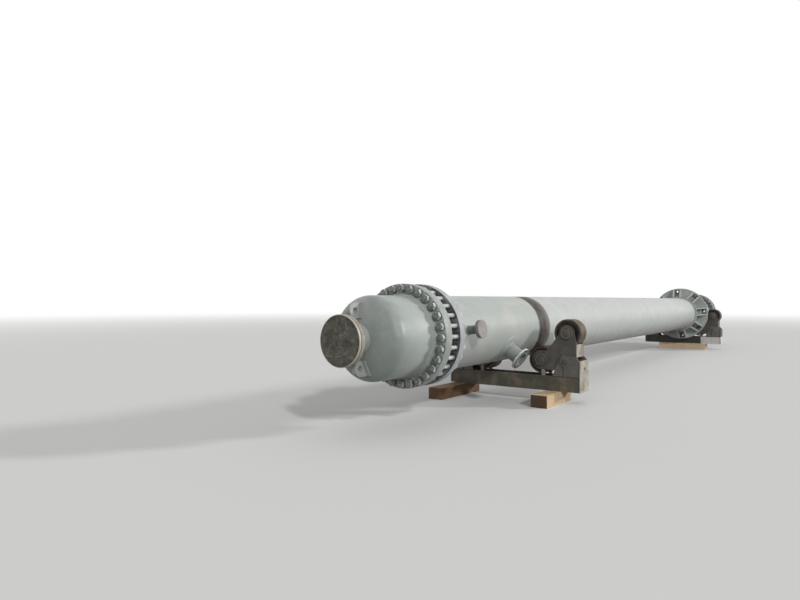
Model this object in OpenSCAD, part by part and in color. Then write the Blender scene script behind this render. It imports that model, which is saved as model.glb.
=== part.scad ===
// Shell and tube heat exchanger, lying on two sets of self-aligning turning rolls.
// X runs along the vessel from its near end to its far end, Y points away from the
// side with the nozzles, and Z is up. The origin is on the floor, below mid-length.

/* [Shell] */
// Outside diameter of the shell, the channels and the heads
shell_od = 1000; // [940:10:1040]
// Plate thickness of the shell, the channels and the heads
shell_wall = 20; // [12:1:30]
// Length of the shell between the outer faces of its two girth flanges
shell_len = 17340; // [15000:10:19000]
// Distance from the near girth joint to the start of the unpainted band
band_start = 2690; // [2550:10:2800]
// Width of the unpainted band
band_w = 395; // [100:5:450]
// How far the vessel lies rolled on its stands, its vent nozzle turned up from level
roll = 6.4; // [0:0.1:12]

/* [Channels and heads] */
// Length of the channel barrel from its girth flange to the head's seam
channel_len = 598; // [450:1:800]
// Crown radius of a head, as a share of the vessel diameter
crown_share = 0.8; // [0.75:0.01:0.9]
// Knuckle radius of a head
knuckle_r = 154; // [120:1:180]

/* [Girth joints] */
// How far the rim of a girth flange stands out from the shell
girth_rim = 145; // [135:1:170]
// Thickness of the channel's girth flange
channel_flange_t = 130; // [90:5:150]
// Thickness of the shell's girth flange
shell_flange_t = 105; // [80:5:150]
// How far the tubesheet stands out from the shell, inside the ring of studs
tubesheet_rim = 40; // [30:1:50]
// Thickness of the tubesheet clamped between the two girth flanges
tubesheet_t = 191; // [120:1:220]
// Number of studs in each girth joint
stud_count = 28; // [20:4:32]
// Diameter of a stud
stud_d = 56; // [48:1:58]
// Distance of the studs' middles from the shell's surface
stud_rise = 90; // [87:1:100]
// How much wider than its stud a flange hole is
stud_clear = 4; // [2:0.5:8]
// Width of a nut across its flats
nut_flats = 85; // [76:1:88]
// Thickness of a nut
nut_t = 56; // [44:1:60]
// Length of stud that shows beyond its nut
stud_end = 10; // [4:1:30]
// Length of the tapered hub behind a girth flange
hub_len = 95; // [60:5:140]
// Thickness of a hub at the flange's face
hub_root = 30; // [22:1:36]

/* [End nozzles] */
// Outside diameter of the nozzle neck on each head
end_neck_od = 355.6; // [300:0.1:380]
// Wall of the end nozzle neck
end_neck_wall = 16; // [10:1:25]
// Distance from the head's seam to the outer face of the end flange
end_nozzle_reach = 500; // [460:1:620]
// Outside diameter of the end flange
end_flange_od = 580; // [550:5:620]
// Thickness of the end flange
end_flange_t = 48; // [36:1:60]
// Diameter of the end flange's circle of holes
end_hole_circle = 510; // [490:1:525]
// Number of holes in the end flange
end_hole_count = 16; // [12:4:20]
// Diameter of a hole in the end flange
end_hole_d = 33; // [26:1:36]
// Length of the tapered hub behind the end flange
end_hub_len = 50; // [30:1:70]
// Thickness of the cover plate on each end flange
cover_t = 35; // [20:1:45]
// Thickness of the seal between the cover and the flange
seal_t = 3; // [1:0.5:5]

/* [Lifting lugs] */
// Distance of a lug's eye from the vessel axis
lug_radius = 326; // [310:1:360]
// Distance of a lug's eye beyond the head's seam
lug_reach = 263; // [250:1:300]
// Width of a lug
lug_w = 180; // [140:5:200]
// Thickness of a lug
lug_t = 50; // [30:1:60]
// Diameter of a lug's eye
lug_eye = 70; // [50:1:90]
// Thickness of the doubling plate under a lug
lug_pad_t = 16; // [10:1:25]
// How far the doubling plate reaches beyond its lug
lug_pad_edge = 45; // [20:5:60]

/* [Vent nozzle] */
// Distance of the vent nozzle from the near girth joint
vent_at = 440; // [360:1:600]
// Outside diameter of the vent neck
vent_od = 114.3; // [80:0.1:140]
// Wall of the vent neck
vent_wall = 8.6; // [5:0.1:14]
// Distance of the vent flange's face from the shell
vent_reach = 186; // [150:1:260]
// Outside diameter of the vent flange and its blank
vent_flange_od = 235; // [210:5:260]
// Thickness of the vent flange and of its blank
vent_flange_t = 24; // [18:1:30]

/* [Side nozzle] */
// Distance of the side nozzle from the near girth joint
side_at = 1738; // [1500:1:2000]
// Angle of the side nozzle from the vent nozzle, round the shell and downwards
side_angle = 40; // [25:1:50]
// Outside diameter of the side neck
side_od = 219.1; // [190:0.1:240]
// Wall of the side neck
side_wall = 12.5; // [8:0.5:16]
// Distance of the side flange's face from the shell
side_reach = 245; // [220:1:300]
// Outside diameter of the side flange
side_flange_od = 340; // [330:5:370]
// Thickness of the side flange
side_flange_t = 30; // [24:1:38]
// Diameter of the side flange's circle of holes
side_hole_circle = 295; // [285:1:305]
// Number of holes in the side flange
side_hole_count = 12; // [8:4:12]
// Diameter of a hole in the side flange
side_hole_d = 26; // [20:1:28]
// Outside diameter of the reinforcing pad round the side neck
side_pad_od = 400; // [340:5:440]
// Thickness of the reinforcing pad
side_pad_t = 18; // [12:1:24]
// Size of the plate behind the side nozzle that shields the tubes
shield_w = 240; // [224:2:280]
// Gap between the shell's inner wall and the shield plate
shield_gap = 60; // [50:1:80]
// Thickness of the shield plate and its legs
shield_t = 12; // [8:1:16]

/* [Support ring] */
// Distance of the support ring's plate from the far girth joint
ring_at = 2288; // [1800:1:2800]
// How far the support ring stands out from the shell
ring_rim = 320; // [280:5:350]
// Thickness of the support ring's plate
ring_t = 50; // [30:1:60]
// Number of pairs of gussets round the support ring
gusset_pairs = 8; // [6:1:10]
// Distance between the two gussets of a pair
gusset_gap = 175; // [140:5:200]
// Thickness of a gusset
gusset_t = 28; // [18:1:32]
// Length of the gussets along the shell
gusset_len = 260; // [200:5:340]
// Length of the gussets' square outer edge
gusset_tip = 70; // [40:5:120]
// Distance of the support ring's bolt holes from the shell's surface
ring_hole_rise = 220; // [200:1:235]
// Diameter of a bolt hole in the support ring
ring_hole_d = 64; // [40:1:80]
// How far the small ring that caps the gussets stands out from the shell
cap_rim = 55; // [40:1:100]
// Thickness of the small ring
cap_ring_t = 25; // [16:1:40]

/* [Rollers] */
// Diameter of a roller
roller_d = 425; // [410:5:440]
// Width of a roller's tread
roller_w = 245; // [200:5:280]
// Diameter of a roller's axle
axle_d = 80; // [60:1:90]
// Angle of the lower rollers from straight down
lower_angle = 45.5; // [44:0.5:47]
// Angle of the upper rollers from straight down
upper_angle = 85.9; // [84:0.1:88]
// Distance of the upper rollers from the vessel axis, clear of a shell this small
upper_radius = 931; // [900:1:950]
// Distance of the near set of rolls from the near girth joint
near_stand_at = 2848; // [2750:1:2950]
// Distance of the far set of rolls from the far girth joint
far_stand_at = 1920; // [1850:1:2000]

/* [Roll stands] */
// Distance of a rocker's pivot from the vessel axis
pivot_radius = 1045; // [1030:1:1060]
// Angle of a rocker's pivot from straight down
pivot_angle = 60.8; // [60:0.1:62]
// Height of the pivots above the rails, which sets how high the vessel lies
pivot_rise = 235; // [215:1:260]
// Diameter of a rocker's pivot pin
pivot_d = 90; // [60:1:100]
// Half width of a rocker plate at its lower axle and its pivot
rocker_r = 150; // [140:1:160]
// Half width of a rocker plate at its upper axle
rocker_top_r = 120; // [110:1:130]
// Distance of a rocker's hollow inner corner from the line between its two axles
waist_off = 50; // [40:1:70]
// Place of that corner along the line, as a share of the way up
waist_share = 0.54; // [0.45:0.01:0.6]
// How far a rocker's upright outer edge stands out beyond its round lower end
shoulder_out = 15; // [10:1:30]
// How far below the upper axle that edge starts to slope inwards
shoulder_drop = 154; // [140:1:170]
// How much narrower the straight sides of a rocker plate are than its round ends
rocker_ease = 3; // [2:1:8]
// Thickness of a rocker plate
rocker_t = 25; // [16:1:32]
// Thickness of the spacer between the two plates of a rocker
spacer_t = 12; // [8:1:20]
// Gap between that spacer and the upper roller's tread
spacer_gap = 10; // [6:1:20]
// Diameter of the round cap on each end of an axle
hub_cap_d = 190; // [160:5:200]
// Thickness of that cap
hub_cap_t = 30; // [16:1:40]
// How far outside the lower axles the stops under the rockers stand
stop_shift = 35; // [20:1:50]
// Width of a stop
stop_w = 55; // [40:1:70]
// Thickness of a bracket plate
bracket_t = 20; // [14:1:28]
// Diameter of the boss round a pivot pin
boss_d = 145; // [130:5:160]
// How far the boss stands out of its bracket
boss_t = 22; // [10:1:30]
// Gap between a rocker's outer edge and the stand's end plate
end_gap = 53; // [40:1:80]
// Height of the base rails
rail_h = 230; // [180:5:260]
// Thickness of a rail's web and flanges
rail_wall = 12; // [8:1:16]
// Thickness of the plates that close the ends of a stand
end_plate_t = 20; // [12:1:30]
// Height of the end plates above the rails
end_plate_rise = 257; // [240:1:270]
// Diameter of the hole in each end plate
end_hole = 44; // [20:1:60]

/* [Timbers] */
// Height of the timbers under the stands
timber_h = 185; // [120:5:240]
// Width of the timbers that lie along the vessel under the near stand
timber_w = 260; // [200:5:280]
// Distance of the front one's middle from the vessel's centre line
front_timber_at = 720; // [650:5:780]
// Distance of the back one's middle from the vessel's centre line
back_timber_at = 940; // [700:5:980]
// How far the front one reaches towards the near end
front_timber_reach = 735; // [300:5:1200]
// How far the back one reaches towards the near end
back_timber_reach = 1000; // [300:5:1500]
// How far both run past the rails at their other ends
timber_tail = 50; // [20:5:300]
// Width of the two timbers that lie across the vessel under the far stand
cross_timber_w = 200; // [150:5:230]
// Gap between those two timbers
cross_timber_gap = 40; // [20:5:100]
// Half of their length
cross_timber_half = 700; // [500:10:1000]

/* [Clearances] */
// Radial gap between a welded neck or ring and the hole that it sits in
weld_fit = 0.1; // [0.05:0.05:0.5]
// Gap between a roller's tread and the shell
tread_gap = 0.3; // [0.2:0.1:1]
// Radial running gap of a roller on its axle
axle_gap = 0.08; // [0.02:0.01:0.1]
// Gap between a roller's side and its rocker plate
side_gap = 8; // [6:1:12]
// Gap between a rocker plate and its bracket
rocker_gap = 5; // [3:1:8]

/* [Hidden] */
$fn = 96;
shell_r = shell_od / 2;
bore_r = shell_r - shell_wall;
girth_od = shell_od + 2 * girth_rim;
stud_circle = shell_od + 2 * stud_rise;
tubesheet_od = shell_od + 2 * tubesheet_rim;
ring_od = shell_od + 2 * ring_rim;
ring_hole_circle = shell_od + 2 * ring_hole_rise;
cap_ring_od = shell_od + 2 * cap_rim;
crown_r = shell_od * crown_share;
crown_drop = sqrt(pow(crown_r - knuckle_r, 2) - pow(shell_r - knuckle_r, 2));
girth_face = tubesheet_t + channel_flange_t;
seam_at = girth_face + channel_len;
stud_len = shell_flange_t + girth_face + 2 * (nut_t + stud_end);
roller_r = roller_d / 2;
roller_at = shell_r + roller_r + tread_gap;
rocker_in = roller_w / 2 + side_gap;
rocker_out = rocker_in + rocker_t;
bracket_in = rocker_out + rocker_gap;
bracket_out = bracket_in + bracket_t;
rail_top = timber_h + rail_h;
near_stand_x = near_stand_at - shell_len / 2;
far_stand_x = shell_len / 2 - far_stand_at;

// The vessel lies on its rolls, so the height of its axis follows from the stands.
axis_height = rail_top + pivot_rise + pivot_radius * cos(pivot_angle);

// Places on one side of a stand, as [sideways, up] from the floor under the vessel
function at_angle(radius, angle) = [radius * sin(angle), axis_height - radius * cos(angle)];
upper_axle = at_angle(upper_radius, upper_angle);
lower_axle = at_angle(roller_at, lower_angle);
pivot = at_angle(pivot_radius, pivot_angle);
rocker_edge = rocker_r + shoulder_out;
stand_half = round(pivot[0] + rocker_edge + end_gap) + end_plate_t;
end_plate_top = rail_top + end_plate_rise;

// Frames: an end of the vessel with Z pointing outwards from the girth joint,
// a radial direction of the shell, and the vessel axis itself.
module end_frame(side) {
  translate([side * shell_len / 2, 0, axis_height])
    rotate([-roll, 0, 0])
      rotate([0, side * 90, 0])
        children();
}

module radial_frame(x, turn) {
  translate([x, 0, axis_height])
    rotate([turn - roll, 0, 0])
      children();
}

module tube(r_out, r_in, len) {
  difference() {
    cylinder(r = r_out, h = len);
    translate([0, 0, -1])
      cylinder(r = r_in, h = len + 2);
  }
}

module ring_of(count, circle) {
  for (i = [0:count - 1])
    rotate(i * 360 / count)
      translate([circle / 2, 0, 0])
        children();
}

// The studs of a girth joint stand on both sides of the vessel's centre lines.
module stud_ring() {
  rotate(180 / stud_count)
    ring_of(stud_count, stud_circle)
      children();
}

// Half section of a dished head, drawn as a crown arc and a knuckle arc that meet
// on the line through both centres. The inset gives the same head one wall smaller.
module head_section(inset) {
  reach = 3;
  $fn = 360;
  intersection() {
    translate([0, -crown_drop])
      circle(r = crown_r - inset);
    polygon([
      [0, -crown_drop],
      [(shell_r - knuckle_r) * reach, crown_drop * (reach - 1)],
      [0, crown_drop * (reach - 1)]
    ]);
    square([shell_od, shell_od]);
  }
  intersection() {
    translate([shell_r - knuckle_r, 0])
      circle(r = knuckle_r - inset);
    polygon([
      [shell_r - knuckle_r, 0],
      [shell_od, 0],
      [shell_od, shell_od],
      [(shell_r - knuckle_r) * reach, crown_drop * (reach - 1)]
    ]);
  }
}

module head_solid() {
  rotate_extrude($fn = 360)
    head_section(0);
}

module head(side) {
  color([0.70, 0.74, 0.70])
    end_frame(side)
      translate([0, 0, seam_at])
        rotate_extrude()
          difference() {
            head_section(0);
            head_section(shell_wall);
            square([end_neck_od / 2 + weld_fit, shell_od]);
          }
}

module channel(side) {
  color([0.70, 0.74, 0.70])
    end_frame(side)
      translate([0, 0, girth_face + hub_len])
        tube(shell_r, bore_r, channel_len - hub_len);
}

// Girth flange with a tapered hub: the bolting face is at zero and the hub points up.
module girth_flange(thick) {
  difference() {
    rotate_extrude()
      polygon([
        [bore_r, 0],
        [girth_od / 2, 0],
        [girth_od / 2, thick],
        [shell_r + hub_root, thick],
        [shell_r, thick + hub_len],
        [bore_r, thick + hub_len]
      ]);
    translate([0, 0, -1])
      stud_ring()
        cylinder(d = stud_d + stud_clear, h = thick + 2);
  }
}

module channel_flange(side) {
  color([0.58, 0.62, 0.60])
    end_frame(side)
      translate([0, 0, tubesheet_t])
        girth_flange(channel_flange_t);
}

module shell_flange(side) {
  color([0.62, 0.62, 0.68])
    end_frame(side)
      mirror([0, 0, 1])
        girth_flange(shell_flange_t);
}

module tubesheet(side) {
  color([0.25, 0.25, 0.25])
    end_frame(side)
      cylinder(d = tubesheet_od, h = tubesheet_t);
}

module girth_studs(side) {
  color([0.75, 0.75, 0.74])
    end_frame(side)
      translate([0, 0, -shell_flange_t - nut_t - stud_end])
        stud_ring()
          cylinder(d = stud_d, h = stud_len);
}

module hex_nut() {
  difference() {
    cylinder(d = nut_flats / cos(30), h = nut_t, $fn = 6);
    translate([0, 0, -1])
      cylinder(r = stud_d / 2 + weld_fit, h = nut_t + 2);
  }
}

module girth_nuts(side) {
  color([0.55, 0.56, 0.55])
    end_frame(side)
      for (z = [girth_face, -shell_flange_t - nut_t])
        translate([0, 0, z])
          stud_ring()
            hex_nut();
}

// Neck of an end nozzle: it passes through the head's wall and is trimmed to the inner face.
module nozzle_neck(side) {
  color([0.60, 0.63, 0.60])
    end_frame(side)
      translate([0, 0, seam_at])
        rotate_extrude()
          difference() {
            translate([end_neck_od / 2 - end_neck_wall, 0])
              square([end_neck_wall, end_nozzle_reach - end_flange_t - end_hub_len]);
            head_section(shell_wall);
          }
}

module nozzle_flange(side) {
  neck_r = end_neck_od / 2;
  back = end_nozzle_reach - end_flange_t;
  color([0.30, 0.29, 0.25])
    end_frame(side)
      translate([0, 0, seam_at])
        difference() {
          rotate_extrude()
            polygon([
              [neck_r - end_neck_wall, back - end_hub_len],
              [neck_r, back - end_hub_len],
              [neck_r + end_neck_wall, back],
              [end_flange_od / 2, back],
              [end_flange_od / 2, end_nozzle_reach],
              [neck_r - end_neck_wall, end_nozzle_reach]
            ]);
          translate([0, 0, back - 1])
            rotate(180 / end_hole_count)
              ring_of(end_hole_count, end_hole_circle)
                cylinder(d = end_hole_d, h = end_flange_t + 2);
        }
}

// The cover is a plain plate on a seal that stops short of its rim.
module cover(side) {
  seal_r = (end_hole_circle - end_hole_d) / 2 - 2 * seal_t;
  color([0.36, 0.34, 0.28])
    end_frame(side)
      translate([0, 0, seam_at + end_nozzle_reach]) {
        cylinder(r = seal_r, h = seal_t);
        translate([0, 0, seal_t])
          cylinder(d = end_flange_od, h = cover_t);
      }
}

// Lifting lug: a plate with a round end, trimmed to the head, on a doubling plate.
module lug_outline(margin) {
  translate([lug_radius, lug_reach])
    circle(d = lug_w + 2 * margin);
  translate([lug_radius - lug_w / 2 - margin, 0])
    square([lug_w + 2 * margin, lug_reach]);
}

module lifting_lug() {
  difference() {
    rotate([90, 0, 0])
      translate([0, 0, -lug_t / 2])
        linear_extrude(lug_t)
          difference() {
            lug_outline(0);
            translate([lug_radius, lug_reach])
              circle(d = lug_eye);
          }
    head_solid();
  }
}

module lug_pad() {
  pad_half = lug_t / 2 + lug_pad_edge;
  intersection() {
    difference() {
      rotate_extrude($fn = 360)
        head_section(-lug_pad_t);
      head_solid();
    }
    translate([lug_radius - lug_w / 2, -pad_half, 0])
      cube([lug_w, 2 * pad_half, lug_reach + shell_r]);
  }
}

module lifting_lugs(side) {
  color([0.66, 0.70, 0.66])
    end_frame(side)
      translate([0, 0, seam_at])
        for (turn = [0, 180])
          rotate(turn)
            union() {
              lifting_lug();
              lug_pad();
            }
}

// Shell courses, with a hole under each nozzle
module shell_between(x_from, x_to) {
  translate([x_from, 0, axis_height])
    rotate([0, 90, 0])
      tube(shell_r, bore_r, x_to - x_from);
}

module near_shell_course() {
  color([0.70, 0.74, 0.70])
    difference() {
      shell_between(shell_flange_t + hub_len - shell_len / 2, band_start - shell_len / 2);
      radial_frame(vent_at - shell_len / 2, 90)
        cylinder(r = vent_od / 2 - vent_wall, h = shell_od);
      radial_frame(side_at - shell_len / 2, 90 + side_angle)
        cylinder(r = side_od / 2 - side_wall, h = shell_od);
    }
}

module bare_band() {
  color([0.38, 0.34, 0.33])
    shell_between(band_start - shell_len / 2, band_start + band_w - shell_len / 2);
}

module main_shell() {
  color([0.70, 0.74, 0.70])
    shell_between(band_start + band_w - shell_len / 2, shell_len / 2 - shell_flange_t - hub_len);
}

module shell_cylinder(x, len) {
  translate([x - len / 2, 0, axis_height])
    rotate([0, 90, 0])
      cylinder(r = shell_r, h = len);
}

// Vent nozzle: neck and flange in one, set on the shell, with a blank flange on it
module vent_nozzle() {
  x = vent_at - shell_len / 2;
  color([0.42, 0.44, 0.43])
    difference() {
      radial_frame(x, 90)
        difference() {
          union() {
            cylinder(d = vent_od, h = shell_r + vent_reach);
            translate([0, 0, shell_r + vent_reach - vent_flange_t])
              cylinder(d = vent_flange_od, h = vent_flange_t);
          }
          translate([0, 0, -1])
            cylinder(r = vent_od / 2 - vent_wall, h = shell_od);
        }
      shell_cylinder(x, vent_flange_od * 2);
    }
}

module vent_blank() {
  color([0.55, 0.45, 0.44])
    radial_frame(vent_at - shell_len / 2, 90)
      translate([0, 0, shell_r + vent_reach])
        cylinder(d = vent_flange_od, h = vent_flange_t);
}

// Side nozzle: open neck set on the shell, welding-neck flange and reinforcing pad
module side_nozzle_neck() {
  x = side_at - shell_len / 2;
  color([0.68, 0.72, 0.68])
    difference() {
      radial_frame(x, 90 + side_angle)
        tube(side_od / 2, side_od / 2 - side_wall, shell_r + side_reach - side_flange_t);
      shell_cylinder(x, side_flange_od * 2);
    }
}

module side_nozzle_flange() {
  color([0.68, 0.72, 0.68])
    radial_frame(side_at - shell_len / 2, 90 + side_angle)
      translate([0, 0, shell_r + side_reach - side_flange_t])
        difference() {
          tube(side_flange_od / 2, side_od / 2 - side_wall, side_flange_t);
          translate([0, 0, -1])
            rotate(180 / side_hole_count)
              ring_of(side_hole_count, side_hole_circle)
                cylinder(d = side_hole_d, h = side_flange_t + 2);
        }
}

module side_nozzle_pad() {
  x = side_at - shell_len / 2;
  color([0.70, 0.74, 0.70])
    difference() {
      intersection() {
        radial_frame(x, 90 + side_angle)
          tube(side_pad_od / 2, side_od / 2 + weld_fit, shell_od);
        translate([x - side_pad_od, 0, axis_height])
          rotate([0, 90, 0])
            cylinder(r = shell_r + side_pad_t, h = 2 * side_pad_od);
      }
      shell_cylinder(x, 3 * side_pad_od);
    }
}

// Shield plate that spreads the flow from the side nozzle, on two legs from the shell wall
module shield_plate() {
  face = bore_r - shield_gap;
  color([0.30, 0.29, 0.28])
    intersection() {
      radial_frame(side_at - shell_len / 2, 90 + side_angle)
        translate([-shield_w / 2, -shield_w / 2, face - shield_t]) {
          cube([shield_w, shield_w, shield_t]);
          for (x = [0, shield_w - shield_t])
            translate([x, 0, 0])
              cube([shield_t, shield_w, shield_wall_reach()]);
        }
      translate([side_at - shell_len / 2 - shield_w, 0, axis_height])
        rotate([0, 90, 0])
          cylinder(r = bore_r - weld_fit, h = 2 * shield_w);
    }
}

function shield_wall_reach() = shield_gap + shield_t;

// Support ring: plate, paired gussets and the small ring that caps them
module ring_frame() {
  translate([shell_len / 2 - ring_at, 0, axis_height])
    rotate([-roll, 0, 0])
      rotate([0, -90, 0])
        children();
}

module support_ring() {
  color([0.62, 0.66, 0.63])
    ring_frame()
      difference() {
        tube(ring_od / 2, shell_r + weld_fit, ring_t);
        translate([0, 0, -1])
          ring_of(gusset_pairs, ring_hole_circle)
            cylinder(d = ring_hole_d, h = ring_t + 2);
      }
}

module gusset() {
  rim_step = 50;
  inner = sqrt(pow(shell_r + weld_fit, 2) - pow((gusset_gap + gusset_t) / 2, 2)) - gusset_t;
  outer = ring_od / 2 - rim_step;
  rotate([90, 0, 0])
    translate([0, 0, -gusset_t / 2])
      linear_extrude(gusset_t)
        polygon([
          [inner, 0],
          [outer, 0],
          [outer, gusset_tip],
          [cap_ring_od / 2, gusset_len],
          [inner, gusset_len]
        ]);
}

module support_gussets() {
  color([0.72, 0.76, 0.73])
    ring_frame()
      translate([0, 0, ring_t])
        difference() {
          for (i = [0:gusset_pairs - 1])
            rotate(i * 360 / gusset_pairs)
              for (y = [-1, 1])
                translate([0, y * (gusset_gap + gusset_t) / 2, 0])
                  gusset();
          translate([0, 0, -1])
            cylinder(r = shell_r + weld_fit, h = gusset_len + 2);
        }
}

module support_cap_ring() {
  color([0.66, 0.70, 0.67])
    ring_frame()
      translate([0, 0, ring_t + gusset_len])
        tube(cap_ring_od / 2, shell_r + weld_fit, cap_ring_t);
}

// Turns a drawing of one side, sideways along X and up along Y, into a plate across the
// vessel. Its low face is at x_from and it is thick towards +X. Front is the nozzle side.
module side_plate(x_from, thick, side) {
  translate([x_from, 0, 0])
    rotate([90, 0, 90])
      linear_extrude(thick)
        scale_side(side)
          children();
}

module scale_side(side) {
  mirror([side > 0 ? 0 : 1, 0])
    children();
}

// A place beside the line from a to b: a share of the way along it, and off to its left
function beside(a, b, share, off) =
  a + share * (b - a) + off * [a[1] - b[1], b[0] - a[0]] / norm(b - a);

// Rocker plate: round at its two axles and its pivot, with a hollow inner corner and an
// upright outer edge
module rocker_outline() {
  side = rocker_r - rocker_ease;
  top_side = rocker_top_r - rocker_ease;
  shoulder_up = upper_axle[1] - pivot[1] - shoulder_drop;
  translate(lower_axle)
    circle(r = rocker_r);
  translate(pivot)
    circle(r = rocker_r);
  translate(upper_axle)
    circle(r = rocker_top_r);
  polygon([
    lower_axle + [0, -side],
    pivot + [0, -side],
    pivot + [side, 0],
    pivot + [rocker_edge, side / 2],
    pivot + [rocker_edge, shoulder_up],
    upper_axle + [top_side, 0],
    upper_axle + [-top_side, 0],
    beside(lower_axle, upper_axle, waist_share, waist_off),
    lower_axle + [side / 2, side],
    lower_axle + [0, side]
  ]);
}

module rocker_plate_outline() {
  difference() {
    rocker_outline();
    translate(pivot)
      circle(r = pivot_d / 2 + weld_fit);
  }
}

module rocker(side) {
  for (x = [-rocker_out, rocker_in])
    side_plate(x, rocker_t, side)
      rocker_plate_outline();
  for (axle = [upper_axle, lower_axle]) {
    side_plate(-rocker_out - hub_cap_t, 2 * (rocker_out + hub_cap_t), side)
      translate(axle)
        circle(d = axle_d);
    for (x = [-rocker_out - hub_cap_t, rocker_out])
      side_plate(x, hub_cap_t, side)
        translate(axle)
          circle(d = hub_cap_d);
  }
}

// Spacer between a rocker's two plates, on their upright outer edge below the upper roller
module rocker_spacers(x) {
  inner = pivot[0] + rocker_edge - spacer_t;
  low = pivot[1] + (rocker_r - rocker_ease) / 2;
  tread_drop = sqrt(max(0, pow(roller_r, 2) - pow(inner - upper_axle[0], 2)));
  high = upper_axle[1] - tread_drop - spacer_gap;
  color([0.80, 0.80, 0.78])
    translate([x, 0, 0])
      for (side = [-1, 1])
        side_plate(-rocker_in, 2 * rocker_in, side)
          translate([inner, low])
            square([spacer_t, high - low]);
}

module rockers(x) {
  color([0.26, 0.26, 0.27])
    translate([x, 0, 0])
      for (side = [-1, 1])
        rocker(side);
}

module bracket_outline() {
  foot_w = 427;
  inner_shoulder = [-90, 45];
  inner_top = [-30, 98];
  outer_top = [165, 80];
  outer_edge = stand_half - end_plate_t;
  polygon([
    [outer_edge - foot_w, rail_top],
    pivot + inner_shoulder,
    pivot + inner_top,
    pivot + outer_top,
    [outer_edge, end_plate_top],
    [outer_edge, rail_top]
  ]);
}

module bracket(side) {
  for (x = [-bracket_out, bracket_in])
    side_plate(x, bracket_t, side)
      bracket_outline();
  side_plate(-bracket_out - boss_t, 2 * (bracket_out + boss_t), side)
    translate(pivot)
      circle(d = pivot_d);
  for (x = [-bracket_out - boss_t, bracket_out])
    side_plate(x, boss_t, side) {
      translate(pivot)
        circle(d = boss_d);
      translate([pivot[0] - bracket_t / 2, rail_top])
        square([bracket_t, pivot[1] - rail_top]);
    }
}

// Stops that stand on the rails and keep the rockers level under a small shell
module rocker_stops(x) {
  stop_reach = lower_axle[1] - rocker_r - rail_top;
  stop_at = lower_axle[0] + stop_shift;
  color([0.60, 0.48, 0.45])
    translate([x, 0, rail_top])
      for (y = [-stop_at, stop_at], front = [-rocker_out, rocker_in])
        translate([front, y - stop_w / 2, 0])
          cube([rocker_t, stop_w, stop_reach]);
}

module brackets(x) {
  color([0.30, 0.30, 0.31])
    translate([x, 0, 0])
      for (side = [-1, 1])
        bracket(side);
}

// Base: two rails with flanges turned inwards, tied by three cross plates
module stand_rails(x, paint) {
  flange_in = roller_w / 2 + side_gap;
  half = stand_half - end_plate_t;
  tie_h = 140;
  color(paint)
    translate([x, 0, timber_h]) {
      for (front = [-bracket_out, bracket_out - rail_wall])
        translate([front, -half, 0])
          cube([rail_wall, 2 * half, rail_h]);
      for (front = [-bracket_out, flange_in])
        for (z = [0, rail_h - rail_wall])
          translate([front, -half, z])
            cube([bracket_out - flange_in, 2 * half, rail_wall]);
      for (y = [-pivot[0], 0, pivot[0]])
        translate([-bracket_out + rail_wall / 2, y - rail_wall / 2, 0])
          cube([2 * bracket_out - rail_wall, rail_wall, tie_h]);
    }
}

module end_plates(x) {
  hole_drop = 127;
  color([0.80, 0.80, 0.78])
    translate([x, 0, 0])
      for (side = [-1, 1])
        difference() {
          translate([-bracket_out, side * (stand_half - end_plate_t / 2) - end_plate_t / 2, timber_h])
            cube([2 * bracket_out, end_plate_t, end_plate_top - timber_h]);
          translate([0, side * (stand_half - end_plate_t / 2), end_plate_top - hole_drop])
            rotate([90, 0, 0])
              cylinder(d = end_hole, h = 2 * end_plate_t, center = true);
        }
}

module long_timber(x, y, front) {
  translate([x - front, y - timber_w / 2, 0])
    cube([front + bracket_out + timber_tail, timber_w, timber_h]);
}

module near_timbers() {
  color([0.52, 0.40, 0.25]) {
    long_timber(near_stand_x, -front_timber_at, front_timber_reach);
    long_timber(near_stand_x, back_timber_at, back_timber_reach);
  }
}

module far_timbers() {
  color([0.60, 0.52, 0.38])
    for (x = [-cross_timber_gap / 2 - cross_timber_w, cross_timber_gap / 2])
      translate([far_stand_x + x, -cross_timber_half, 0])
        cube([cross_timber_w, 2 * cross_timber_half, timber_h]);
}

// Roller: a rim with a sunk web on both sides and a hub that turns on its axle
module roller_section() {
  hub_wall = 40;
  rim_wall = 45;
  web_sink = 40;
  hub_r = axle_d / 2 + hub_wall;
  rim_r = roller_r - rim_wall;
  difference() {
    translate([axle_d / 2 + axle_gap, -roller_w / 2])
      square([roller_r - axle_d / 2 - axle_gap, roller_w]);
    for (y = [-roller_w / 2 - 1, roller_w / 2 - web_sink])
      translate([hub_r, y])
        square([rim_r - hub_r, web_sink + 1]);
  }
}

module roller(x, axle, side) {
  color([0.24, 0.20, 0.18])
    translate([x, side * axle[0], axle[1]])
      rotate([0, 90, 0])
        rotate_extrude()
          roller_section();
}

cover(-1);  // near_cover
nozzle_flange(-1);  // near_nozzle_flange
nozzle_neck(-1);  // near_nozzle_neck
head(-1);  // near_head
lifting_lugs(-1);  // near_lifting_lugs
channel(-1);  // near_channel
channel_flange(-1);  // near_channel_flange
tubesheet(-1);  // near_tubesheet
shell_flange(-1);  // near_shell_flange
girth_studs(-1);  // near_girth_studs
girth_nuts(-1);  // near_girth_nuts
near_shell_course();
bare_band();
main_shell();
vent_nozzle();
vent_blank();
side_nozzle_neck();
side_nozzle_flange();
side_nozzle_pad();
shield_plate();
support_ring();
support_gussets();
support_cap_ring();
shell_flange(1);  // far_shell_flange
tubesheet(1);  // far_tubesheet
channel_flange(1);  // far_channel_flange
channel(1);  // far_channel
girth_studs(1);  // far_girth_studs
girth_nuts(1);  // far_girth_nuts
lifting_lugs(1);  // far_lifting_lugs
head(1);  // far_head
nozzle_neck(1);  // far_nozzle_neck
nozzle_flange(1);  // far_nozzle_flange
cover(1);  // far_cover
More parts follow.
